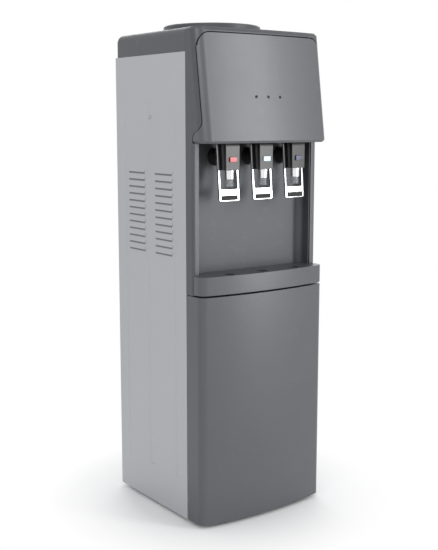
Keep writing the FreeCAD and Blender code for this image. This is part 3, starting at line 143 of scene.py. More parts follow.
class Graph:
    """The node graph of one material."""

    def __init__(self, name: str) -> None:
        """Start a material that holds a Principled shader alone.

        Args:
            name: the material's name.
        """
        self.material = bpy.data.materials.new(name)
        self.material.use_nodes = True
        self.tree = self.material.node_tree
        self.tree.nodes.clear()
        self.shader = self.tree.nodes.new("ShaderNodeBsdfPrincipled")
        self.output = self.tree.nodes.new("ShaderNodeOutputMaterial")
        self.surface(Wire(self, self.shader.outputs[0]))

    @classmethod
    def of_tree(cls, tree: bpy.types.NodeTree) -> "Graph":
        """A graph that works in the world's own node tree, emptied first."""
        graph = cls.__new__(cls)
        graph.tree = tree
        tree.nodes.clear()
        graph.output = tree.nodes.new("ShaderNodeOutputWorld")
        return graph

    def surface(self, result: Wire) -> None:
        """Make a shader the material's surface."""
        self.tree.links.new(result.socket, self.output.inputs["Surface"])

    def node(self, kind: str, settings: Dict[str, Any], values: Dict[Union[int, str], Term],
             output: Union[int, str] = 0) -> Wire:
        """Add a node.

        Args:
            kind: the node's type.
            settings: the node's own properties, set before its sockets.
            values: a number, vector or wire for each socket.
            output: the socket that is handed back.

        Returns:
            The chosen output as a wire.
        """
        made = self.tree.nodes.new(kind)
        for key, value in settings.items():
            setattr(made, key, value)
        for key, value in values.items():
            self.feed(made.inputs[key], value)
        return Wire(self, made.outputs[output])

    def feed(self, socket: bpy.types.NodeSocket, value: Term) -> None:
        """Link a wire to a socket, or set the socket's own value."""
        if isinstance(value, Wire):
            self.tree.links.new(value.socket, socket)
        elif isinstance(value, (tuple, list)) and len(value) == 3 and socket.type == "RGBA":
            socket.default_value = (*value, 1.0)
        else:
            socket.default_value = value

    def set(self, **values: Term) -> None:
        """Set sockets of the Principled shader; an underscore stands for a space."""
        for key, value in values.items():
            self.feed(self.shader.inputs[key.replace("_", " ")], value)

    def place(self) -> Wire:
        """Object coordinates."""
        return self.node("ShaderNodeTexCoord", {}, {}, "Object")

    def part(self, name: str) -> Wire:
        """One of the Object coordinates, X, Y or Z."""
        return self.node("ShaderNodeSeparateXYZ", {}, {0: self.place()}, name)

    def stretched(self, scale: Triple) -> Wire:
        """Object coordinates scaled along each axis."""
        return self.node("ShaderNodeMapping", {}, {"Vector": self.place(), "Scale": scale})

    def noise(self, scale: float, detail: float = 2.0, at: Optional[Wire] = None) -> Wire:
        """Noise between 0 and 1, its scale in cells per metre."""
        return self.node("ShaderNodeTexNoise", {}, {
            "Vector": at or self.place(), "Scale": scale, "Detail": detail,
        }, "Fac")

    def mix(self, factor: Term, first: Term, second: Term) -> Wire:
        """Mix two colours."""
        return self.node("ShaderNodeMix", {"data_type": "RGBA"},
                         {0: factor, 6: first, 7: second}, 2)

    def bump(self, height: Wire, depth: float, strength: float = 1.0) -> Wire:
        """A normal bent by a height pattern, its depth in metres."""
        return self.node("ShaderNodeBump", {}, {
            "Height": height, "Distance": depth, "Strength": strength,
        })


def seen_directly(graph: Graph) -> Wire:
    """1 for what the camera sees, straight, mirrored or through glass, otherwise 0."""
    rays = [graph.node("ShaderNodeLightPath", {}, {}, "Is %s Ray" % kind)
            for kind in ("Camera", "Glossy", "Transmission")]
    return (rays[0] + rays[1] + rays[2]).clamped()


def shade(colour: Colour, factor: float) -> Colour:
    """A lighter or darker version of a colour."""
    return tuple(min(1.0, part * factor) for part in colour)


# ---------------------------------------------------------------- finishes


@dataclass(frozen=True)
class Moulding:
    """Injection-moulded plastic or rubber: fine spark grain, soft cloudiness, faint dust."""

    name: str
    colour: Colour
    roughness: float = 0.42
    grain: float = 0.05
    grain_scale: float = 2600.0
    cloud: float = 0.06
    coat: float = 0.0
    dust: float = 0.0
    metallic: float = 0.0
    hairline: float = 0.0

    def make(self) -> bpy.types.Material:
        """Build the material."""
        graph = Graph(self.name)
        cloud = graph.noise(7.0, 3.0)
        fleck = graph.noise(900.0, 2.0)
        low, high = shade(self.colour, 1 - self.cloud), shade(self.colour, 1 + self.cloud)
        tone = graph.mix(cloud, low, high)
        tone = graph.mix(fleck * 0.12, tone, shade(self.colour, 1.3))
        if self.hairline:
            line = graph.noise(1.0, 3.0, graph.stretched((14.0, 14.0, 1500.0)))
            tone = graph.mix(line * self.hairline, tone, shade(self.colour, 2.2))
        if self.dust:
            drift = graph.noise(38.0, 5.0).above(0.62)
            tone = graph.mix(drift * self.dust, tone, (0.45, 0.44, 0.42))
        graph.set(
            Base_Color=tone, Metallic=self.metallic,
            Roughness=self.roughness + (cloud - 0.5) * 0.10 + (fleck - 0.5) * 0.06,
            Normal=graph.bump(graph.noise(self.grain_scale, 3.0), self.grain * MM, 0.5),
            Coat_Weight=self.coat,
        )
        graph.shader.inputs["Coat Roughness"].default_value = 0.15
        return graph.material


@dataclass(frozen=True)
class LouvreShadePaint:
    """Where the painted shade bands that stand for the shadowed slots below the louvres of a side
    panel lie, in millimetres.
    """

    level: float = 586.0
    pitch: float = 15.6
    rows: int = 12
    slot: float = 4.2
    columns: Tuple[Span, ...] = ((52.0, 118.0), (160.0, 226.0))

    def mask(self, graph: Graph) -> Wire:
        """1 in the painted shade bands under the louvres, otherwise 0; depths run back from the
        panel's front edge.
        """
        height, depth = graph.part("Z"), graph.part("Y")
        bottom = (self.level - self.slot) * MM
        row = ((height - bottom) * (1 / (self.pitch * MM))).fraction()
        rows = height.within(bottom, bottom + self.pitch * self.rows * MM)
        front, rear = (depth.within(FRONT_EDGE + low * MM, FRONT_EDGE + high * MM)
                       for low, high in self.columns)
        return row.below(self.slot / self.pitch) * rows * (front + rear)


@dataclass(frozen=True)
class PaintedSteel:
    """Sheet steel under a metallic silver paint with a faint orange peel, and painted shade bands
    under the louvres where these are given.
    """

    name: str
    colour: Colour
    roughness: float = 0.38
    metallic: float = 0.25
    painted_louvre_shade: Optional[LouvreShadePaint] = None

    def make(self) -> bpy.types.Material:
        """Build the material."""
        graph = Graph(self.name)
        cloud = graph.noise(4.0, 3.0)
        flake = graph.noise(3200.0, 1.0)
        peel = graph.noise(420.0, 2.0)
        tone = graph.mix(cloud, shade(self.colour, 0.96), shade(self.colour, 1.04))
        tone = graph.mix(flake * 0.14, tone, shade(self.colour, 1.35))
        if self.painted_louvre_shade:
            # painted shade: a band under each louvre is darkened towards a tenth of the silver,
            # standing in for the shadow in the openings
            tone = graph.mix(self.painted_louvre_shade.mask(graph) * 0.72, tone, shade(self.colour, 0.1))
        graph.set(
            Base_Color=tone, Metallic=self.metallic,
            Roughness=self.roughness + (cloud - 0.5) * 0.08,
            Normal=graph.bump(peel, 0.02 * MM, 0.35),
        )
        return graph.material


@dataclass(frozen=True)
class Metal:
    """Bare or plated metal, with lines that are finest along the axis of the largest scale."""

    name: str
    colour: Colour
    roughness: float = 0.25
    brush: Triple = (60.0, 60.0, 2500.0)
    lines: float = 0.12
    blotch: float = 0.05

    def make(self) -> bpy.types.Material:
        """Build the material."""
        graph = Graph(self.name)
        line = graph.noise(1.0, 3.0, graph.stretched(self.brush))
        blotch = graph.noise(25.0, 4.0)
        tone = graph.mix(line, shade(self.colour, 1 - self.lines), self.colour)
        tone = graph.mix(blotch * self.blotch, tone, shade(self.colour, 0.6))
        graph.set(
            Base_Color=tone, Metallic=1.0,
            Roughness=self.roughness + (line - 0.5) * self.lines + (blotch - 0.5) * self.blotch,
            Normal=graph.bump(line, 0.01 * MM, 0.3),
        )
        return graph.material


@dataclass(frozen=True)
class Zinc:
    """Galvanised sheet with the spangle of its zinc crystals."""

    name: str
    colour: Colour

    def make(self) -> bpy.types.Material:
        """Build the material."""
        graph = Graph(self.name)
        spangle = graph.node("ShaderNodeTexVoronoi", {}, {
            "Vector": graph.place(), "Scale": 130.0}, "Color")
        grey = graph.node("ShaderNodeRGBToBW", {}, {0: spangle})
        tone = graph.mix(grey, shade(self.colour, 0.82), shade(self.colour, 1.08))
        graph.set(Base_Color=tone, Metallic=0.85, Roughness=0.34 + grey * 0.14,
                  Normal=graph.bump(graph.noise(700.0, 2.0), 0.01 * MM, 0.3))
        return graph.material


@dataclass(frozen=True)
class ClearTube:
    """Milky clear plastic with a faint mottle on its inside."""

    name: str
    colour: Colour
    alpha: float = 0.5
    mottle: float = 0.35

    def make(self) -> bpy.types.Material:
        """Build the material."""
        graph = Graph(self.name)
        mottle = graph.noise(420.0, 4.0)
        ring = (graph.part("Z") * 1900.0).wave()
        tone = graph.mix(mottle, shade(self.colour, 1 - self.mottle), self.colour)
        graph.set(Base_Color=tone, Metallic=0.0, Roughness=0.14 + mottle * 0.16,
                  Alpha=self.alpha + (mottle - 0.5) * 0.5,
                  Normal=graph.bump(ring * 0.5 + mottle, 0.05 * MM, 0.4))
        return graph.material


@dataclass(frozen=True)
class Foam:
    """Blown foam: small open cells and a yellowish skin."""

    name: str
    colour: Colour

    def make(self) -> bpy.types.Material:
        """Build the material."""
        graph = Graph(self.name)
        cells = graph.node("ShaderNodeTexVoronoi", {}, {
            "Vector": graph.place(), "Scale": 260.0}, "Distance")
        cloud = graph.noise(18.0, 4.0)
        tone = graph.mix(cloud, shade(self.colour, 0.85), shade(self.colour, 1.1))
        graph.set(Base_Color=tone, Metallic=0.0, Roughness=0.85 + (cloud - 0.5) * 0.1,
                  Normal=graph.bump(cells, 0.8 * MM, 0.6))
        return graph.material


Finish = Union[Moulding, PaintedSteel, Metal, Zinc, ClearTube, Foam]

FRONT_GREY = (0.092, 0.094, 0.103)
SILVER = (0.43, 0.438, 0.458)
FINISHES: Dict[str, Finish] = {
    "front": Moulding("front_moulding", FRONT_GREY, 0.36, 0.03, cloud=0.03, coat=0.06,
                      dust=0.01, metallic=0.28, hairline=0.16),
    # painted shade: the housing and niche finishes are darker copies of the front moulding,
    # standing in for the shade on the columns and in the recess
    "housing": Moulding("housing_moulding", shade(FRONT_GREY, 0.8), 0.38, 0.03, cloud=0.03,
                        coat=0.04, dust=0.01, metallic=0.28, hairline=0.14),
    "niche": Moulding("niche_moulding", shade(FRONT_GREY, 0.78), 0.42, 0.05, cloud=0.04,
                      dust=0.02, metallic=0.3, hairline=0.12),
    # strainer black, darker than the black plastic: partly the strainers' own colour, partly
    # painted shade inside the drain wells
    "drain": Moulding("drain_black", (0.010, 0.010, 0.011), 0.55, 0.05),
    "gasket": Moulding("door_gasket", (0.34, 0.34, 0.34), 0.6, 0.04),
    # painted shade: a darker copy of the front moulding for the top cover and lid, with faint dust
    "cap": Moulding("cap_moulding", shade(FRONT_GREY, 0.86), 0.44, 0.06, dust=0.05),
    "tap": Moulding("tap_black", (0.009, 0.009, 0.010), 0.30, 0.02, coat=0.15),
    "black": Moulding("black_plastic", (0.018, 0.018, 0.019), 0.38, 0.04),
    "rubber": Moulding("black_rubber", (0.016, 0.016, 0.016), 0.72, 0.10, 1400.0),
    "red": Moulding("red_tag", (0.46, 0.018, 0.022), 0.25, 0.01, coat=0.4),
    "pale": Moulding("pale_tag", (0.62, 0.74, 0.86), 0.25, 0.01, coat=0.4),
    "blue": Moulding("blue_tag", (0.012, 0.018, 0.075), 0.25, 0.01, coat=0.4),
    "lens": Moulding("indicator_lens", (0.004, 0.004, 0.005), 0.6, 0.005),
    "white": Moulding("white_liner", (0.74, 0.74, 0.72), 0.36, 0.04, dust=0.04),
    "board": Moulding("board_laminate", (0.03, 0.16, 0.07), 0.35, 0.03, coat=0.3),
    "silver": PaintedSteel("silver_paint", SILVER),
    # side panels: silver with painted shade bands under the louvres
    "louvred_painted_shade": PaintedSteel("louvred_silver", SILVER, painted_louvre_shade=LouvreShadePaint()),
    "enamel": PaintedSteel("black_enamel", (0.018, 0.018, 0.018), 0.30, 0.0),
    "chrome": Metal("lever_chrome", (0.86, 0.86, 0.87), 0.10, (300.0, 300.0, 900.0), 0.04),
    "stainless": Metal("stainless_steel", (0.62, 0.62, 0.61), 0.26),
    "screw": Metal("screw_steel", (0.52, 0.52, 0.52), 0.32, (900.0, 900.0, 900.0)),
    "zinc": Zinc("zinc_sheet", (0.56, 0.57, 0.58)),
    "sleeve": ClearTube("clear_sleeve", (0.42, 0.44, 0.45), 0.42),
    "hose": ClearTube("milky_hose", (0.72, 0.74, 0.74), 0.55, 0.12),
    "foam": Foam("tank_foam", (0.66, 0.58, 0.36)),
}


class FinishBook:
    """Makes each finish once and hands it out by name."""

    def __init__(self) -> None:
        """Start with nothing made."""
        self.made: Dict[str, bpy.types.Material] = {}

    def get(self, key: str) -> bpy.types.Material:
        """The material of a finish, made at its first use."""
        if key not in self.made:
            self.made[key] = FINISHES[key].make()
        return self.made[key]

    def put(self, piece: bpy.types.Object, key: str) -> None:
        """Give a piece one finish all over."""
        piece.data.materials.clear()
        piece.data.materials.append(self.get(key))


# ---------------------------------------------------------------- modelling by hand


class Workbench:
    """The modelling moves that the pieces share.

    A copy's points within MERGE_GAP millimetres are merged, and its edges bent by less than
    FLAT_ANGLE degrees are dissolved.
    """

    MERGE_GAP: ClassVar[float] = 0.01
    FLAT_ANGLE: ClassVar[float] = 0.4

    @staticmethod
    def clear() -> None:
        """Leave edit mode and deselect everything."""
        if bpy.context.object and bpy.context.object.mode != "OBJECT":
            bpy.ops.object.mode_set(mode="OBJECT")
        bpy.ops.object.select_all(action="DESELECT")

    @classmethod
    def pick(cls, piece: bpy.types.Object) -> None:
        """Make a piece the only selected one, and active."""
        cls.clear()
        piece.select_set(True)
        bpy.context.view_layer.objects.active = piece

    @classmethod
    def copy(cls, node: str, name: str) -> bpy.types.Object:
        """A merged copy of a CAD node under a new name, with no parent."""
        source = FRAME["nodes"][node]
        cls.clear()
        piece = bpy.data.objects.new(name, source.data.copy())
        bpy.context.scene.collection.objects.link(piece)
        cls.pick(piece)
        bpy.ops.object.mode_set(mode="EDIT")
        bpy.ops.mesh.select_all(action="SELECT")
        bpy.ops.mesh.remove_doubles(threshold=cls.MERGE_GAP * MM)
        bpy.ops.mesh.dissolve_limited(angle_limit=math.radians(cls.FLAT_ANGLE))
        bpy.ops.object.mode_set(mode="OBJECT")
        return piece

    @classmethod
    def bevel(cls, piece: bpy.types.Object, width: float, segments: int = 2,
              angle: float = 40.0) -> None:
        """Round the sharp edges of a piece.

        Args:
            piece: the piece to work on.
            width: the bevel's width in millimetres.
            segments: the faces across it.
            angle: edges bent by less than this many degrees stay.
        """
        cls.pick(piece)
        bevel = piece.modifiers.new("edge_round", "BEVEL")
        bevel.width = width * MM
        bevel.segments = segments
        bevel.limit_method = "ANGLE"
        bevel.angle_limit = math.radians(angle)
        bevel.use_clamp_overlap = True
        bpy.ops.object.modifier_apply(modifier=bevel.name)

    @classmethod
    def smooth(cls, piece: bpy.types.Object, angle: float = 32.0) -> None:
        """Shade a piece smooth except across its sharp edges."""
        cls.pick(piece)
        bpy.ops.object.shade_smooth_by_angle(angle=math.radians(angle))

    @classmethod
    def weigh(cls, piece: bpy.types.Object) -> None:
        """Let the large faces lead the shading, so that small holes leave no streaks."""
        cls.pick(piece)
        weigh = piece.modifiers.new("weighted", "WEIGHTED_NORMAL")
        weigh.keep_sharp = True
        weigh.weight = 100
        bpy.ops.object.modifier_apply(modifier=weigh.name)

    @classmethod
    def settle(cls, piece: bpy.types.Object) -> None:
        """Put a piece's place, turn and scale into its mesh."""
        cls.pick(piece)
        bpy.ops.object.transform_apply(location=True, rotation=True, scale=True)

    @classmethod
    def cylinder(cls, name: str, at: Triple, radius: float, length: float,
                 axis: Axis = Axis.Z, sides: int = 40) -> bpy.types.Object:
        """Start a round piece, centred at a point.

        Args:
            name: the piece's name.
            at: its middle, in metres.
            radius: in metres.
            length: in metres.
            axis: the direction that it stands along.
            sides: its flat sides.

        Returns:
            The piece, its place in its mesh.
        """
        cls.clear()
        bpy.ops.mesh.primitive_cylinder_add(vertices=sides, radius=radius, depth=length,
                                            location=at, rotation=axis.value)
        piece = bpy.context.object
        piece.name = name
        cls.settle(piece)
        return piece

    @classmethod
    def faces(cls, piece: bpy.types.Object, test: Callable[[Vector, Vector], bool]) -> None:
        """Enter edit mode with the faces selected whose centre and normal pass a test."""
        cls.pick(piece)
        bpy.ops.object.mode_set(mode="EDIT")
        bpy.ops.mesh.select_mode(type="FACE")
        bpy.ops.mesh.select_all(action="DESELECT")
        bpy.ops.object.mode_set(mode="OBJECT")
        for face in piece.data.polygons:
            face.select = bool(test(face.center, face.normal))
        bpy.ops.object.mode_set(mode="EDIT")

    @classmethod
    def sink(cls, wall: float, shift: Triple) -> None:
        """Inset the selected faces by a wall and push what is left along a shift, in metres."""
        bpy.ops.mesh.inset(thickness=wall, use_even_offset=True)
        bpy.ops.mesh.extrude_region_move(TRANSFORM_OT_translate={"value": shift})
        bpy.ops.object.mode_set(mode="OBJECT")

    @classmethod
    def repeat(cls, piece: bpy.types.Object, places: Sequence[Vector],
               start: Vector) -> bpy.types.Object:
        """Copy a piece to several places, each copy with its own mesh, and join them.

        Args:
            piece: the model, deleted once it is copied.
            places: where the copies' middles go.
            start: where the model's own middle is.

        Returns:
            The joined piece.
        """
        copies = []
        for place in places:
            other = bpy.data.objects.new(piece.name + "_copy", piece.data.copy())
            bpy.context.scene.collection.objects.link(other)
            other.location = Vector(place) - Vector(start)
            cls.settle(other)
            copies.append(other)
        name = piece.name
        bpy.data.objects.remove(piece)
        return cls.join(copies, name)

    @classmethod
    def islands(cls, node: str) -> List[Tuple[Vector, Vector]]:
        """Low and high corner of each separate solid of a CAD node."""
        probe = cls.copy(node, "island_probe")
        leader = list(range(len(probe.data.vertices)))

        def lead(index: int) -> int:
            """The vertex that stands for an island."""
            while leader[index] != index:
                index = leader[index]
            return index

        for edge in probe.data.edges:
            first, second = (lead(index) for index in edge.vertices)
            leader[max(first, second)] = min(first, second)
        found: Dict[int, List[Vector]] = {}
        for vertex in probe.data.vertices:
            found.setdefault(lead(vertex.index), []).append(vertex.co.copy())
        bpy.data.objects.remove(probe)
        return [(Vector(min(point[k] for point in points) for k in range(3)),
                 Vector(max(point[k] for point in points) for k in range(3)))
                for points in found.values()]

    @classmethod
    def join(cls, pieces: List[bpy.types.Object], name: str) -> bpy.types.Object:
        """Join several pieces into one."""
        cls.clear()
        for piece in pieces:
            piece.select_set(True)
        bpy.context.view_layer.objects.active = pieces[0]
        bpy.ops.object.join()
        pieces[0].name = name
        return pieces[0]


@dataclass
class Refinement:
    """How a CAD node's finished copy is made."""

    node: str
    finish: str
    slot: str
    round_mm: float
    segments: int = 2
    body: str = "cabinet"
    smooth: float = 32.0
    stretch: Triple = (1.0, 1.0, 1.0)
    shift: Triple = (0.0, 0.0, 0.0)

    def make(self, book: FinishBook) -> bpy.types.Object:
        """Copy the node, round its edges, and let the copy stand for it.

        Args:
            book: where the finishes come from.

        Returns:
            The finished piece.
        """
        piece = Workbench.copy(self.node, self.node + "_finished")
        if self.stretch != (1.0, 1.0, 1.0):
            low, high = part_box(self.node)
            middle = (low + high) / 2
            piece.scale = self.stretch
            piece.location = [middle[k] * (1 - self.stretch[k]) + self.shift[k] * MM
                              for k in range(3)]
            Workbench.settle(piece)
        if self.round_mm:
            Workbench.bevel(piece, self.round_mm, self.segments)
        Workbench.smooth(piece, self.smooth)
        Workbench.weigh(piece)
        book.put(piece, self.finish)
        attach(piece, self.body)
        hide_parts(self.node)
        LOG.info("refined %s", self.node)
        return piece


@dataclass
class SubAssembly:
    """What all the sub-assemblies do: refine some nodes, dress others, add pieces."""

    book: FinishBook
    refinements: ClassVar[Sequence[Refinement]] = ()
    dressed: ClassVar[Dict[str, str]] = {}

    def finish(self, piece: bpy.types.Object, finish: str, slot: str, nodes: Sequence[str] = (),
               body: str = "cabinet", angle: float = 32.0) -> bpy.types.Object:
        """Shade, dress and fit a new piece.

        Args:
            piece: the piece.
            finish: its finish.
            slot: the record's material slot; not used.
            nodes: the CAD nodes that it stands for.
            body: the body that it moves with.
            angle: edges bent by more than this many degrees stay sharp.

        Returns:
            The piece.
        """
        Workbench.smooth(piece, angle)
        self.book.put(piece, finish)
        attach(piece, body)
        if nodes:
            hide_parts(*nodes)
        LOG.info("made %s", piece.name)
        return piece

    def build(self) -> None:
        """Refine, dress and add, and report it."""
        for item in self.refinements:
            item.make(self.book)
        for node, finish in self.dressed.items():
            self.book.put(FRAME["nodes"][node], finish)
        self.add()
        LOG.info("built %s", type(self).__name__)

    def add(self) -> None:
        """Add new pieces; a sub-assembly without any leaves this as it is."""


@dataclass
class Cabinet(SubAssembly):
    """Steel sides and back, the base, the decks and the screws."""

    foot_wall: float = 3.0
    foot_recess: float = 3.5
    foot_round: float = 1.4
    screw_round: float = 0.6
    recess_width: float = 0.9
    recess_reach: float = 4.2
    head_sides: int = 28
    blade_lift: float = 0.65

    refinements = (
        # both side panels carry painted shade bands under their louvres
        Refinement("left_side_panel", "louvred_painted_shade", "silver_paint", 0.25, 1),
        Refinement("right_side_panel", "louvred_painted_shade", "silver_paint", 0.25, 1),
    )
    dressed = {
        "rear_panel": "silver", "base_pan": "zinc", "machine_deck": "zinc", "tank_shelf": "zinc",
    }

    def add(self) -> None:
        """Add the feet and the screws."""
        self.mould_feet()
        self.drive_screws()

    def mould_feet(self) -> None:
        """Round rubber feet with a hollow underside and a soft rim."""
        places = Workbench.islands("feet")
        low, high = places[0]
        middle = (low + high) / 2
        foot = Workbench.cylinder("rubber_feet", middle, (high.x - low.x) / 2, high.z - low.z)
        Workbench.faces(foot, lambda centre, normal: normal.z < -0.9)
        Workbench.sink(self.foot_wall * MM, (0.0, 0.0, self.foot_recess * MM))
        Workbench.bevel(foot, self.foot_round)
        feet = Workbench.repeat(foot, [(a + b) / 2 for a, b in places], middle)
        self.finish(feet, "rubber", "black_rubber", ("feet",))

    def drive_screws(self) -> None:
        """Pan-head screws with a cross recess, on both sides and at the back."""
        heads = []
        groups: Dict[Axis, List[Vector]] = {}
        for low, high in Workbench.islands("cabinet_screws"):
            size, middle = high - low, (low + high) / 2
            if size.y < size.x:
                axis = Axis.Y
            else:
                axis = Axis.X if middle.x > 0 else Axis.MINUS_X
            groups.setdefault(axis, []).append(middle)
            thick, radius = min(size), max(size) / 2
        for axis, places in groups.items():
            heads.append(Workbench.repeat(self.screw(axis, places[0], radius, thick), places,
                                          places[0]))
        self.finish(Workbench.join(heads, "cross_screws"), "screw", "steel_screw",
                    ("cabinet_screws",))

    def screw(self, axis: Axis, middle: Vector, radius: float,
              thick: float) -> bpy.types.Object:
        """One screw head with its recess cut.

        Args:
            axis: the direction that the head faces.
            middle: the head's middle.
            radius: the head's radius in metres.
            thick: the head's height in metres.

        Returns:
            The head.
        """
        head = Workbench.cylinder("screw_head", middle, radius, thick, axis, self.head_sides)
        Workbench.bevel(head, self.screw_round, 3)
        out = Euler(axis.value).to_matrix() @ Vector((0.0, 0.0, 1.0))
        for turn in (0.0, math.pi / 2):
            Workbench.clear()
            bpy.ops.mesh.primitive_cube_add(size=1.0)
            blade = bpy.context.object
            blade.scale = (self.recess_reach * MM, self.recess_width * MM, thick)
            blade.rotation_euler = (Euler(axis.value).to_matrix()
                                    @ Euler((0.0, 0.0, turn)).to_matrix()).to_euler()
            blade.location = middle + out * thick * self.blade_lift
            Workbench.settle(blade)
            Workbench.pick(head)
            cut = head.modifiers.new("recess", "BOOLEAN")
            cut.operation, cut.solver, cut.object = "DIFFERENCE", "EXACT", blade
            bpy.ops.object.modifier_apply(modifier=cut.name)
            bpy.data.objects.remove(blade)
        return head


@dataclass
class Front(SubAssembly):
    """Moulded hood, housing, niche and top cover, and the indicator lenses."""

    ring_radius: float = 3.1
    ring_bore: float = 1.9
    ring_thick: float = 0.9
    ring_sunk: float = 1.1
    ring_recess: float = 0.3
    ring_round: float = 0.15
    hood_lean: float = 8.03

    refinements = (
        Refinement("control_panel", "front", "dark_plastic", 0.5),
        # the housing and the niche take darker copies of the front moulding, painted shade
        Refinement("front_housing", "housing", "dark_plastic", 0.5),
        Refinement("splash_panel", "niche", "dark_plastic", 0.4),
        Refinement("top_cover", "cap", "dark_plastic", 0.6),
        Refinement("led_lenses", "lens", "dark_lens", 0.15),
    )
    dressed = {"display_board": "board"}

    def add(self) -> None:
        """Add the black rings that edge the three indicator lenses."""
        places = [Vector(((a.x + b.x) / 2, a.y - self.ring_sunk * MM, (a.z + b.z) / 2))
                  for a, b in Workbench.islands("led_lenses")]
        ring = Workbench.cylinder("lens_rings", (0.0, 0.0, 0.0), self.ring_radius * MM,
                                  self.ring_thick * MM, Axis.Y, 32)
        Workbench.faces(ring, lambda centre, normal: normal.y < -0.9)
        Workbench.sink((self.ring_radius - self.ring_bore) * MM,
                       (0.0, self.ring_recess * MM, 0.0))
        Workbench.bevel(ring, self.ring_round, 2)
        ring.rotation_euler = (-math.radians(self.hood_lean), 0.0, 0.0)
        Workbench.settle(ring)
        rings = Workbench.repeat(ring, places, Vector((0.0, 0.0, 0.0)))
        self.finish(rings, "lens", "dark_lens")


@dataclass
class Reservoir(SubAssembly):
    """Lift-off lid with its gasket, cold tank and foam."""

    refinements = (
        Refinement("reservoir_lid", "cap", "dark_plastic", 0.4, 2, "reservoir_lid"),
    )
    dressed = {"lid_gasket": "rubber", "cold_tank": "stainless", "tank_insulation": "foam"}


@dataclass
class Door(SubAssembly):
    """Lower door, its liner and hinge, and the bottle bay with the probe."""

    gasket_width: float = 7.0
    gasket_inset: float = 5.0
    gasket_depth: float = 2.2
    gasket_round: float = 0.7

    refinements = (
        Refinement("door_skin", "front", "dark_plastic", 1.0, 3, "door"),
        Refinement("door_liner", "white", "white_plastic", 1.2, 3, "door"),
        Refinement("bottle_bay_liner", "white", "white_plastic", 1.2, 3),
        Refinement("probe_cap", "black", "black_plastic", 0.8),
    )
    dressed = {
        "door_catch": "black", "hinge_brackets": "zinc", "probe_hook": "white",
        "dip_tube": "stainless",
    }

    def add(self) -> None:
        """Add the soft seal round the door's rear edge."""
        low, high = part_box("door_liner")
        inset = self.gasket_inset * MM
        wide, tall = high.x - low.x - inset * 2, high.z - low.z - inset * 2
        Workbench.clear()
        bpy.ops.mesh.primitive_plane_add(
            size=1.0, location=((low.x + high.x) / 2, high.y, (low.z + high.z) / 2),
            rotation=(-math.pi / 2, 0.0, 0.0))
        seal = bpy.context.object
        seal.name = "door_seal"
        seal.scale = (wide, tall, 1.0)
        Workbench.settle(seal)
        Workbench.faces(seal, lambda centre, normal: True)
        bpy.ops.mesh.inset(thickness=self.gasket_width * MM, use_even_offset=True)
        bpy.ops.mesh.delete(type="FACE")
        bpy.ops.mesh.select_all(action="SELECT")
        bpy.ops.mesh.extrude_region_move(
            TRANSFORM_OT_translate={"value": (0.0, self.gasket_depth * MM, 0.0)})
        bpy.ops.mesh.select_all(action="SELECT")
        bpy.ops.mesh.normals_make_consistent(inside=False)
        bpy.ops.object.mode_set(mode="OBJECT")
        Workbench.bevel(seal, self.gasket_round, 3)
        self.finish(seal, "gasket", "black_rubber", (), "door")


@dataclass
class Tray(SubAssembly):
    """Pull-out drip tray and its cover with three near-black strainers, whose colour also paints
    the shade inside the drains.
    """

    strainer_radius: float = 11.6
    strainer_thick: float = 1.6
    strainer_drop: float = 0.5
    rim: float = 1.6
    dish: float = 0.5
    edge_round: float = 0.2
    hole: float = 1.1
    drill_length: float = 8.0
    hole_rings: Tuple[Tuple[int, float], ...] = ((6, 4.2), (12, 7.8))

    refinements = (
        Refinement("drip_tray", "front", "dark_plastic", 0.7, 2, "drip_tray"),
        # the tray cover takes the niche's darker copy of the front moulding, painted shade
        Refinement("drip_grille", "niche", "dark_plastic", 0.3, 1, "drip_grille"),
    )

    def add(self) -> None:
        """Add the round strainers that sit in the cover's drains, below the spouts."""
        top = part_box("drip_grille")[1].z
        places = [Vector(((a.x + b.x) / 2, (a.y + b.y) / 2,
                          top - (self.strainer_drop + self.strainer_thick / 2) * MM))
                  for a, b in Workbench.islands("tap_spouts")]
        middle = places[0]
        disc = Workbench.cylinder("drain_strainers", middle, self.strainer_radius * MM,
                                  self.strainer_thick * MM, Axis.Z, 48)
        Workbench.faces(disc, lambda centre, normal: normal.z > 0.9)
        Workbench.sink(self.rim * MM, (0.0, 0.0, -self.dish * MM))
        Workbench.bevel(disc, self.edge_round, 1)
        for count, ring in self.hole_rings:
            for step in range(count):
                turn = 2 * math.pi * step / count
                self.pierce(disc, middle + Vector((math.cos(turn), math.sin(turn), 0.0))
                            * ring * MM)
        strainers = Workbench.repeat(disc, places, middle)
        self.finish(strainers, "drain", "black_plastic", (), "drip_grille")

    def pierce(self, disc: bpy.types.Object, at: Vector) -> None:
        """Cut one small round hole through a strainer."""
        drill = Workbench.cylinder("drill", at, self.hole * MM, self.drill_length * MM, Axis.Z, 10)
        Workbench.pick(disc)
        cut = disc.modifiers.new("hole", "BOOLEAN")
        cut.operation, cut.solver, cut.object = "DIFFERENCE", "EXACT", drill
        bpy.ops.object.modifier_apply(modifier=cut.name)
        bpy.data.objects.remove(drill)


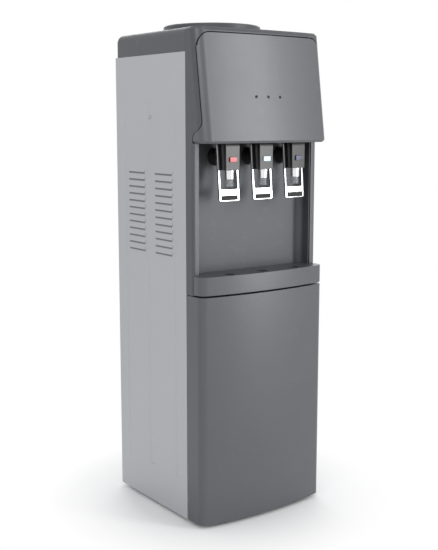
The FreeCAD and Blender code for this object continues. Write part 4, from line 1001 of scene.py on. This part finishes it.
@dataclass
class Taps(SubAssembly):
    """Push taps with their levers, pads, tags, spouts and sleeves."""

    nozzle_wall: float = 1.5
    nozzle_step: float = 0.7
    collar_height: float = 4.0
    nozzle_round: float = 0.4
    mouth_share: float = 0.7

    refinements = tuple(
        item for kind, tag, tag_finish, tag_slot, tag_body in (
            ("hot", "lock_button_hot", "red", "red_tag", "hot_lock"),
            ("warm", "tap_tag_warm", "pale", "pale_tag", "cabinet"),
            ("cold", "tap_tag_cold", "blue", "blue_tag", "cabinet"),
        ) for item in (
            Refinement("tap_body_" + kind, "tap", "black_plastic", 0.6),
            Refinement("tap_lever_" + kind, "chrome", "lever_chrome", 0.7, 2, "lever_" + kind),
            Refinement("lever_pad_" + kind, "rubber", "black_plastic", 0.5, 2, "lever_" + kind,
                       stretch=(1.06, 1.0, 1.5), shift=(0.0, -0.8, -0.4)),
            Refinement(tag, tag_finish, tag_slot, 0.6, 2, tag_body),
        )
    ) + (Refinement("spout_sleeves", "sleeve", "clear_sleeve", 0.2, 1),)
    dressed = {"tap_nuts": "black", "lever_pins": "stainless"}

    def add(self) -> None:
        """Add the round chromed nozzles, each with a collar and a bored mouth."""
        places = Workbench.islands("tap_spouts")
        low, high = places[0]
        middle = (low + high) / 2
        radius, tall = (high.x - low.x) / 2, high.z - low.z
        tube = Workbench.cylinder("nozzle_tube", middle, radius - self.nozzle_step * MM, tall)
        Workbench.faces(tube, lambda centre, normal: normal.z < -0.9)
        Workbench.sink((self.nozzle_wall - self.nozzle_step) * MM,
                       (0.0, 0.0, tall * self.mouth_share))
        collar_tall = self.collar_height * MM
        collar = Workbench.cylinder("nozzle_collar", (middle.x, middle.y,
                                                      high.z - collar_tall / 2),
                                    radius, collar_tall)
        for piece in (tube, collar):
            Workbench.bevel(piece, self.nozzle_round, 3)
        nozzle = Workbench.join([tube, collar], "round_nozzles")
        nozzles = Workbench.repeat(nozzle, [(a + b) / 2 for a, b in places], middle)
        self.finish(nozzles, "chrome", "lever_chrome", ("tap_spouts",))


@dataclass
class Works(SubAssembly):
    """Compressor, tanks, pump, tubes, condenser and the fittings on the back."""

    wire_round: float = 0.3
    wire_sides: int = 10
    wire_angle: float = 50.0

    refinements = (
        Refinement("hot_switch", "red", "red_tag", 0.5, 2, "hot_rocker"),
        Refinement("cold_switch", "blue", "blue_tag", 0.5, 2, "cold_rocker"),
        Refinement("switch_bezels", "black", "black_plastic", 0.4),
        Refinement("drain_cap", "black", "black_plastic", 0.6, 2, "waste_cap"),
        Refinement("cord_gland", "black", "black_plastic", 0.4),
        Refinement("condenser_coil", "enamel", "black_enamel", 0.0, smooth=65.0),
        Refinement("compressor", "enamel", "black_enamel", 0.8),
    )
    dressed = {
        "condenser_brackets": "zinc", "compressor_grommets": "rubber", "hot_tank": "stainless",
        "drain_port": "stainless", "water_pump": "white", "suction_tube": "hose",
        "fill_tube": "hose", "tap_tubes": "hose",
    }

    def add(self) -> None:
        """Add the condenser's round wires with their ends rounded off."""
        places = Workbench.islands("condenser_wires")
        low, high = places[0]
        middle = (low + high) / 2
        wire = Workbench.cylinder("round_wires", middle, (high.x - low.x) / 2, high.z - low.z,
                                  Axis.Z, self.wire_sides)
        Workbench.bevel(wire, self.wire_round, 1)
        wires = Workbench.repeat(wire, [(a + b) / 2 for a, b in places], middle)
        self.finish(wires, "enamel", "black_enamel", ("condenser_wires",),
                    angle=self.wire_angle)


# ---------------------------------------------------------------- studio


@dataclass
class Lamp:
    """A soft area light aimed at the cooler."""

    name: str
    place: Triple
    target: Triple
    size: Span
    power: float
    colour: Colour = (1.0, 1.0, 1.0)

    def make(self) -> None:
        """Add the light."""
        data = bpy.data.lights.new(self.name, "AREA")
        data.shape = "RECTANGLE"
        data.size, data.size_y = self.size
        data.energy = self.power
        data.color = self.colour
        lamp = bpy.data.objects.new(self.name, data)
        lamp.location = self.place
        aim = Vector(self.target) - Vector(self.place)
        lamp.rotation_euler = aim.to_track_quat("-Z", "Y").to_euler()
        bpy.context.scene.collection.objects.link(lamp)


@dataclass
class Studio:
    """White floor, soft light and the camera at the photograph's viewing angle."""

    eye: Triple = (-1.2952, -1.76673, 0.8682)
    yaw: float = 0.632
    pitch: float = 0.158
    focal_px: float = 965.9
    frame_height: float = 550.0
    sensor: float = 36.0
    floor_radius: float = 6.0
    fade_start: float = 0.20
    fade_width: float = 0.2
    world_strength: float = 0.62
    lamps: Tuple[Lamp, ...] = field(default_factory=lambda: (
        Lamp("key", (-2.6, -2.2, 2.6), (0.0, 0.0, 0.6), (2.4, 2.0), 34.0),
        Lamp("front_strip", (1.45, -2.3, 1.1), (0.0, 0.0, 0.6), (0.7, 2.6), 38.0),
        Lamp("rear_fill", (1.6, 2.6, 2.2), (0.0, 0.1, 0.6), (2.4, 2.0), 36.0),
    ))

    def build(self) -> None:
        """Set up floor, world, lights and camera."""
        self.lay_floor()
        self.light_world()
        for lamp in self.lamps:
            lamp.make()
        self.set_camera()
        bpy.context.scene.view_settings.view_transform = "Standard"

    def lay_floor(self) -> None:
        """A round white floor under the feet that fades into the white surround."""
        Workbench.clear()
        bpy.ops.mesh.primitive_circle_add(vertices=96, radius=self.floor_radius,
                                          fill_type="NGON")
        floor = bpy.context.object
        floor.name = "studio_floor"
        graph = Graph("white_floor")
        cloud = graph.noise(1.5, 2.0)
        graph.set(Base_Color=graph.mix(cloud, (0.93, 0.93, 0.93), (0.95, 0.95, 0.95)),
                  Roughness=0.8, Metallic=0.0)
        reach = graph.node("ShaderNodeVectorMath", {"operation": "LENGTH"},
                           {0: graph.place()}, "Value")
        fade = ((reach - self.fade_start) * (1 / self.fade_width)).clamped()
        glow = graph.node("ShaderNodeEmission", {}, {"Color": (1.0, 1.0, 1.0), "Strength": 1.0})
        graph.surface(graph.node("ShaderNodeMixShader", {}, {
            0: fade * seen_directly(graph), 1: Wire(graph, graph.shader.outputs[0]), 2: glow}))
        floor.data.materials.append(graph.material)

    def light_world(self) -> None:
        """An even surround that is white where it is seen or mirrored."""
        world = bpy.data.worlds.new("soft_surround")
        bpy.context.scene.world = world
        world.use_nodes = True
        graph = Graph.of_tree(world.node_tree)
        soft = graph.node("ShaderNodeBackground", {}, {
            "Color": (0.97, 0.98, 1.0), "Strength": self.world_strength})
        white = graph.node("ShaderNodeBackground", {}, {
            "Color": (1.0, 1.0, 1.0), "Strength": 1.0})
        graph.surface(graph.node("ShaderNodeMixShader", {}, {
            0: seen_directly(graph), 1: soft, 2: white}))

    def set_camera(self) -> None:
        """A camera fitted to the photograph's view."""
        data = bpy.data.cameras.new("photo_camera")
        data.sensor_fit = "VERTICAL"
        data.sensor_height = self.sensor
        data.lens = self.focal_px / self.frame_height * self.sensor
        camera = bpy.data.objects.new("photo_camera", data)
        camera.location = self.eye
        flat = math.cos(self.pitch)
        look = Vector((math.sin(self.yaw) * flat, math.cos(self.yaw) * flat,
                       -math.sin(self.pitch)))
        camera.rotation_euler = look.to_track_quat("-Z", "Y").to_euler()
        bpy.context.scene.collection.objects.link(camera)
        bpy.context.scene.camera = camera


# ---------------------------------------------------------------- assembly


def main() -> None:
    """Build the studio and every sub-assembly."""
    logging.basicConfig(level=logging.INFO, format="%(name)s: %(message)s")
    book = FinishBook()
    Studio().build()
    for part in (Cabinet, Front, Reservoir, Door, Tray, Taps, Works):
        part(book).build()


if __name__ == "__main__":
    main()
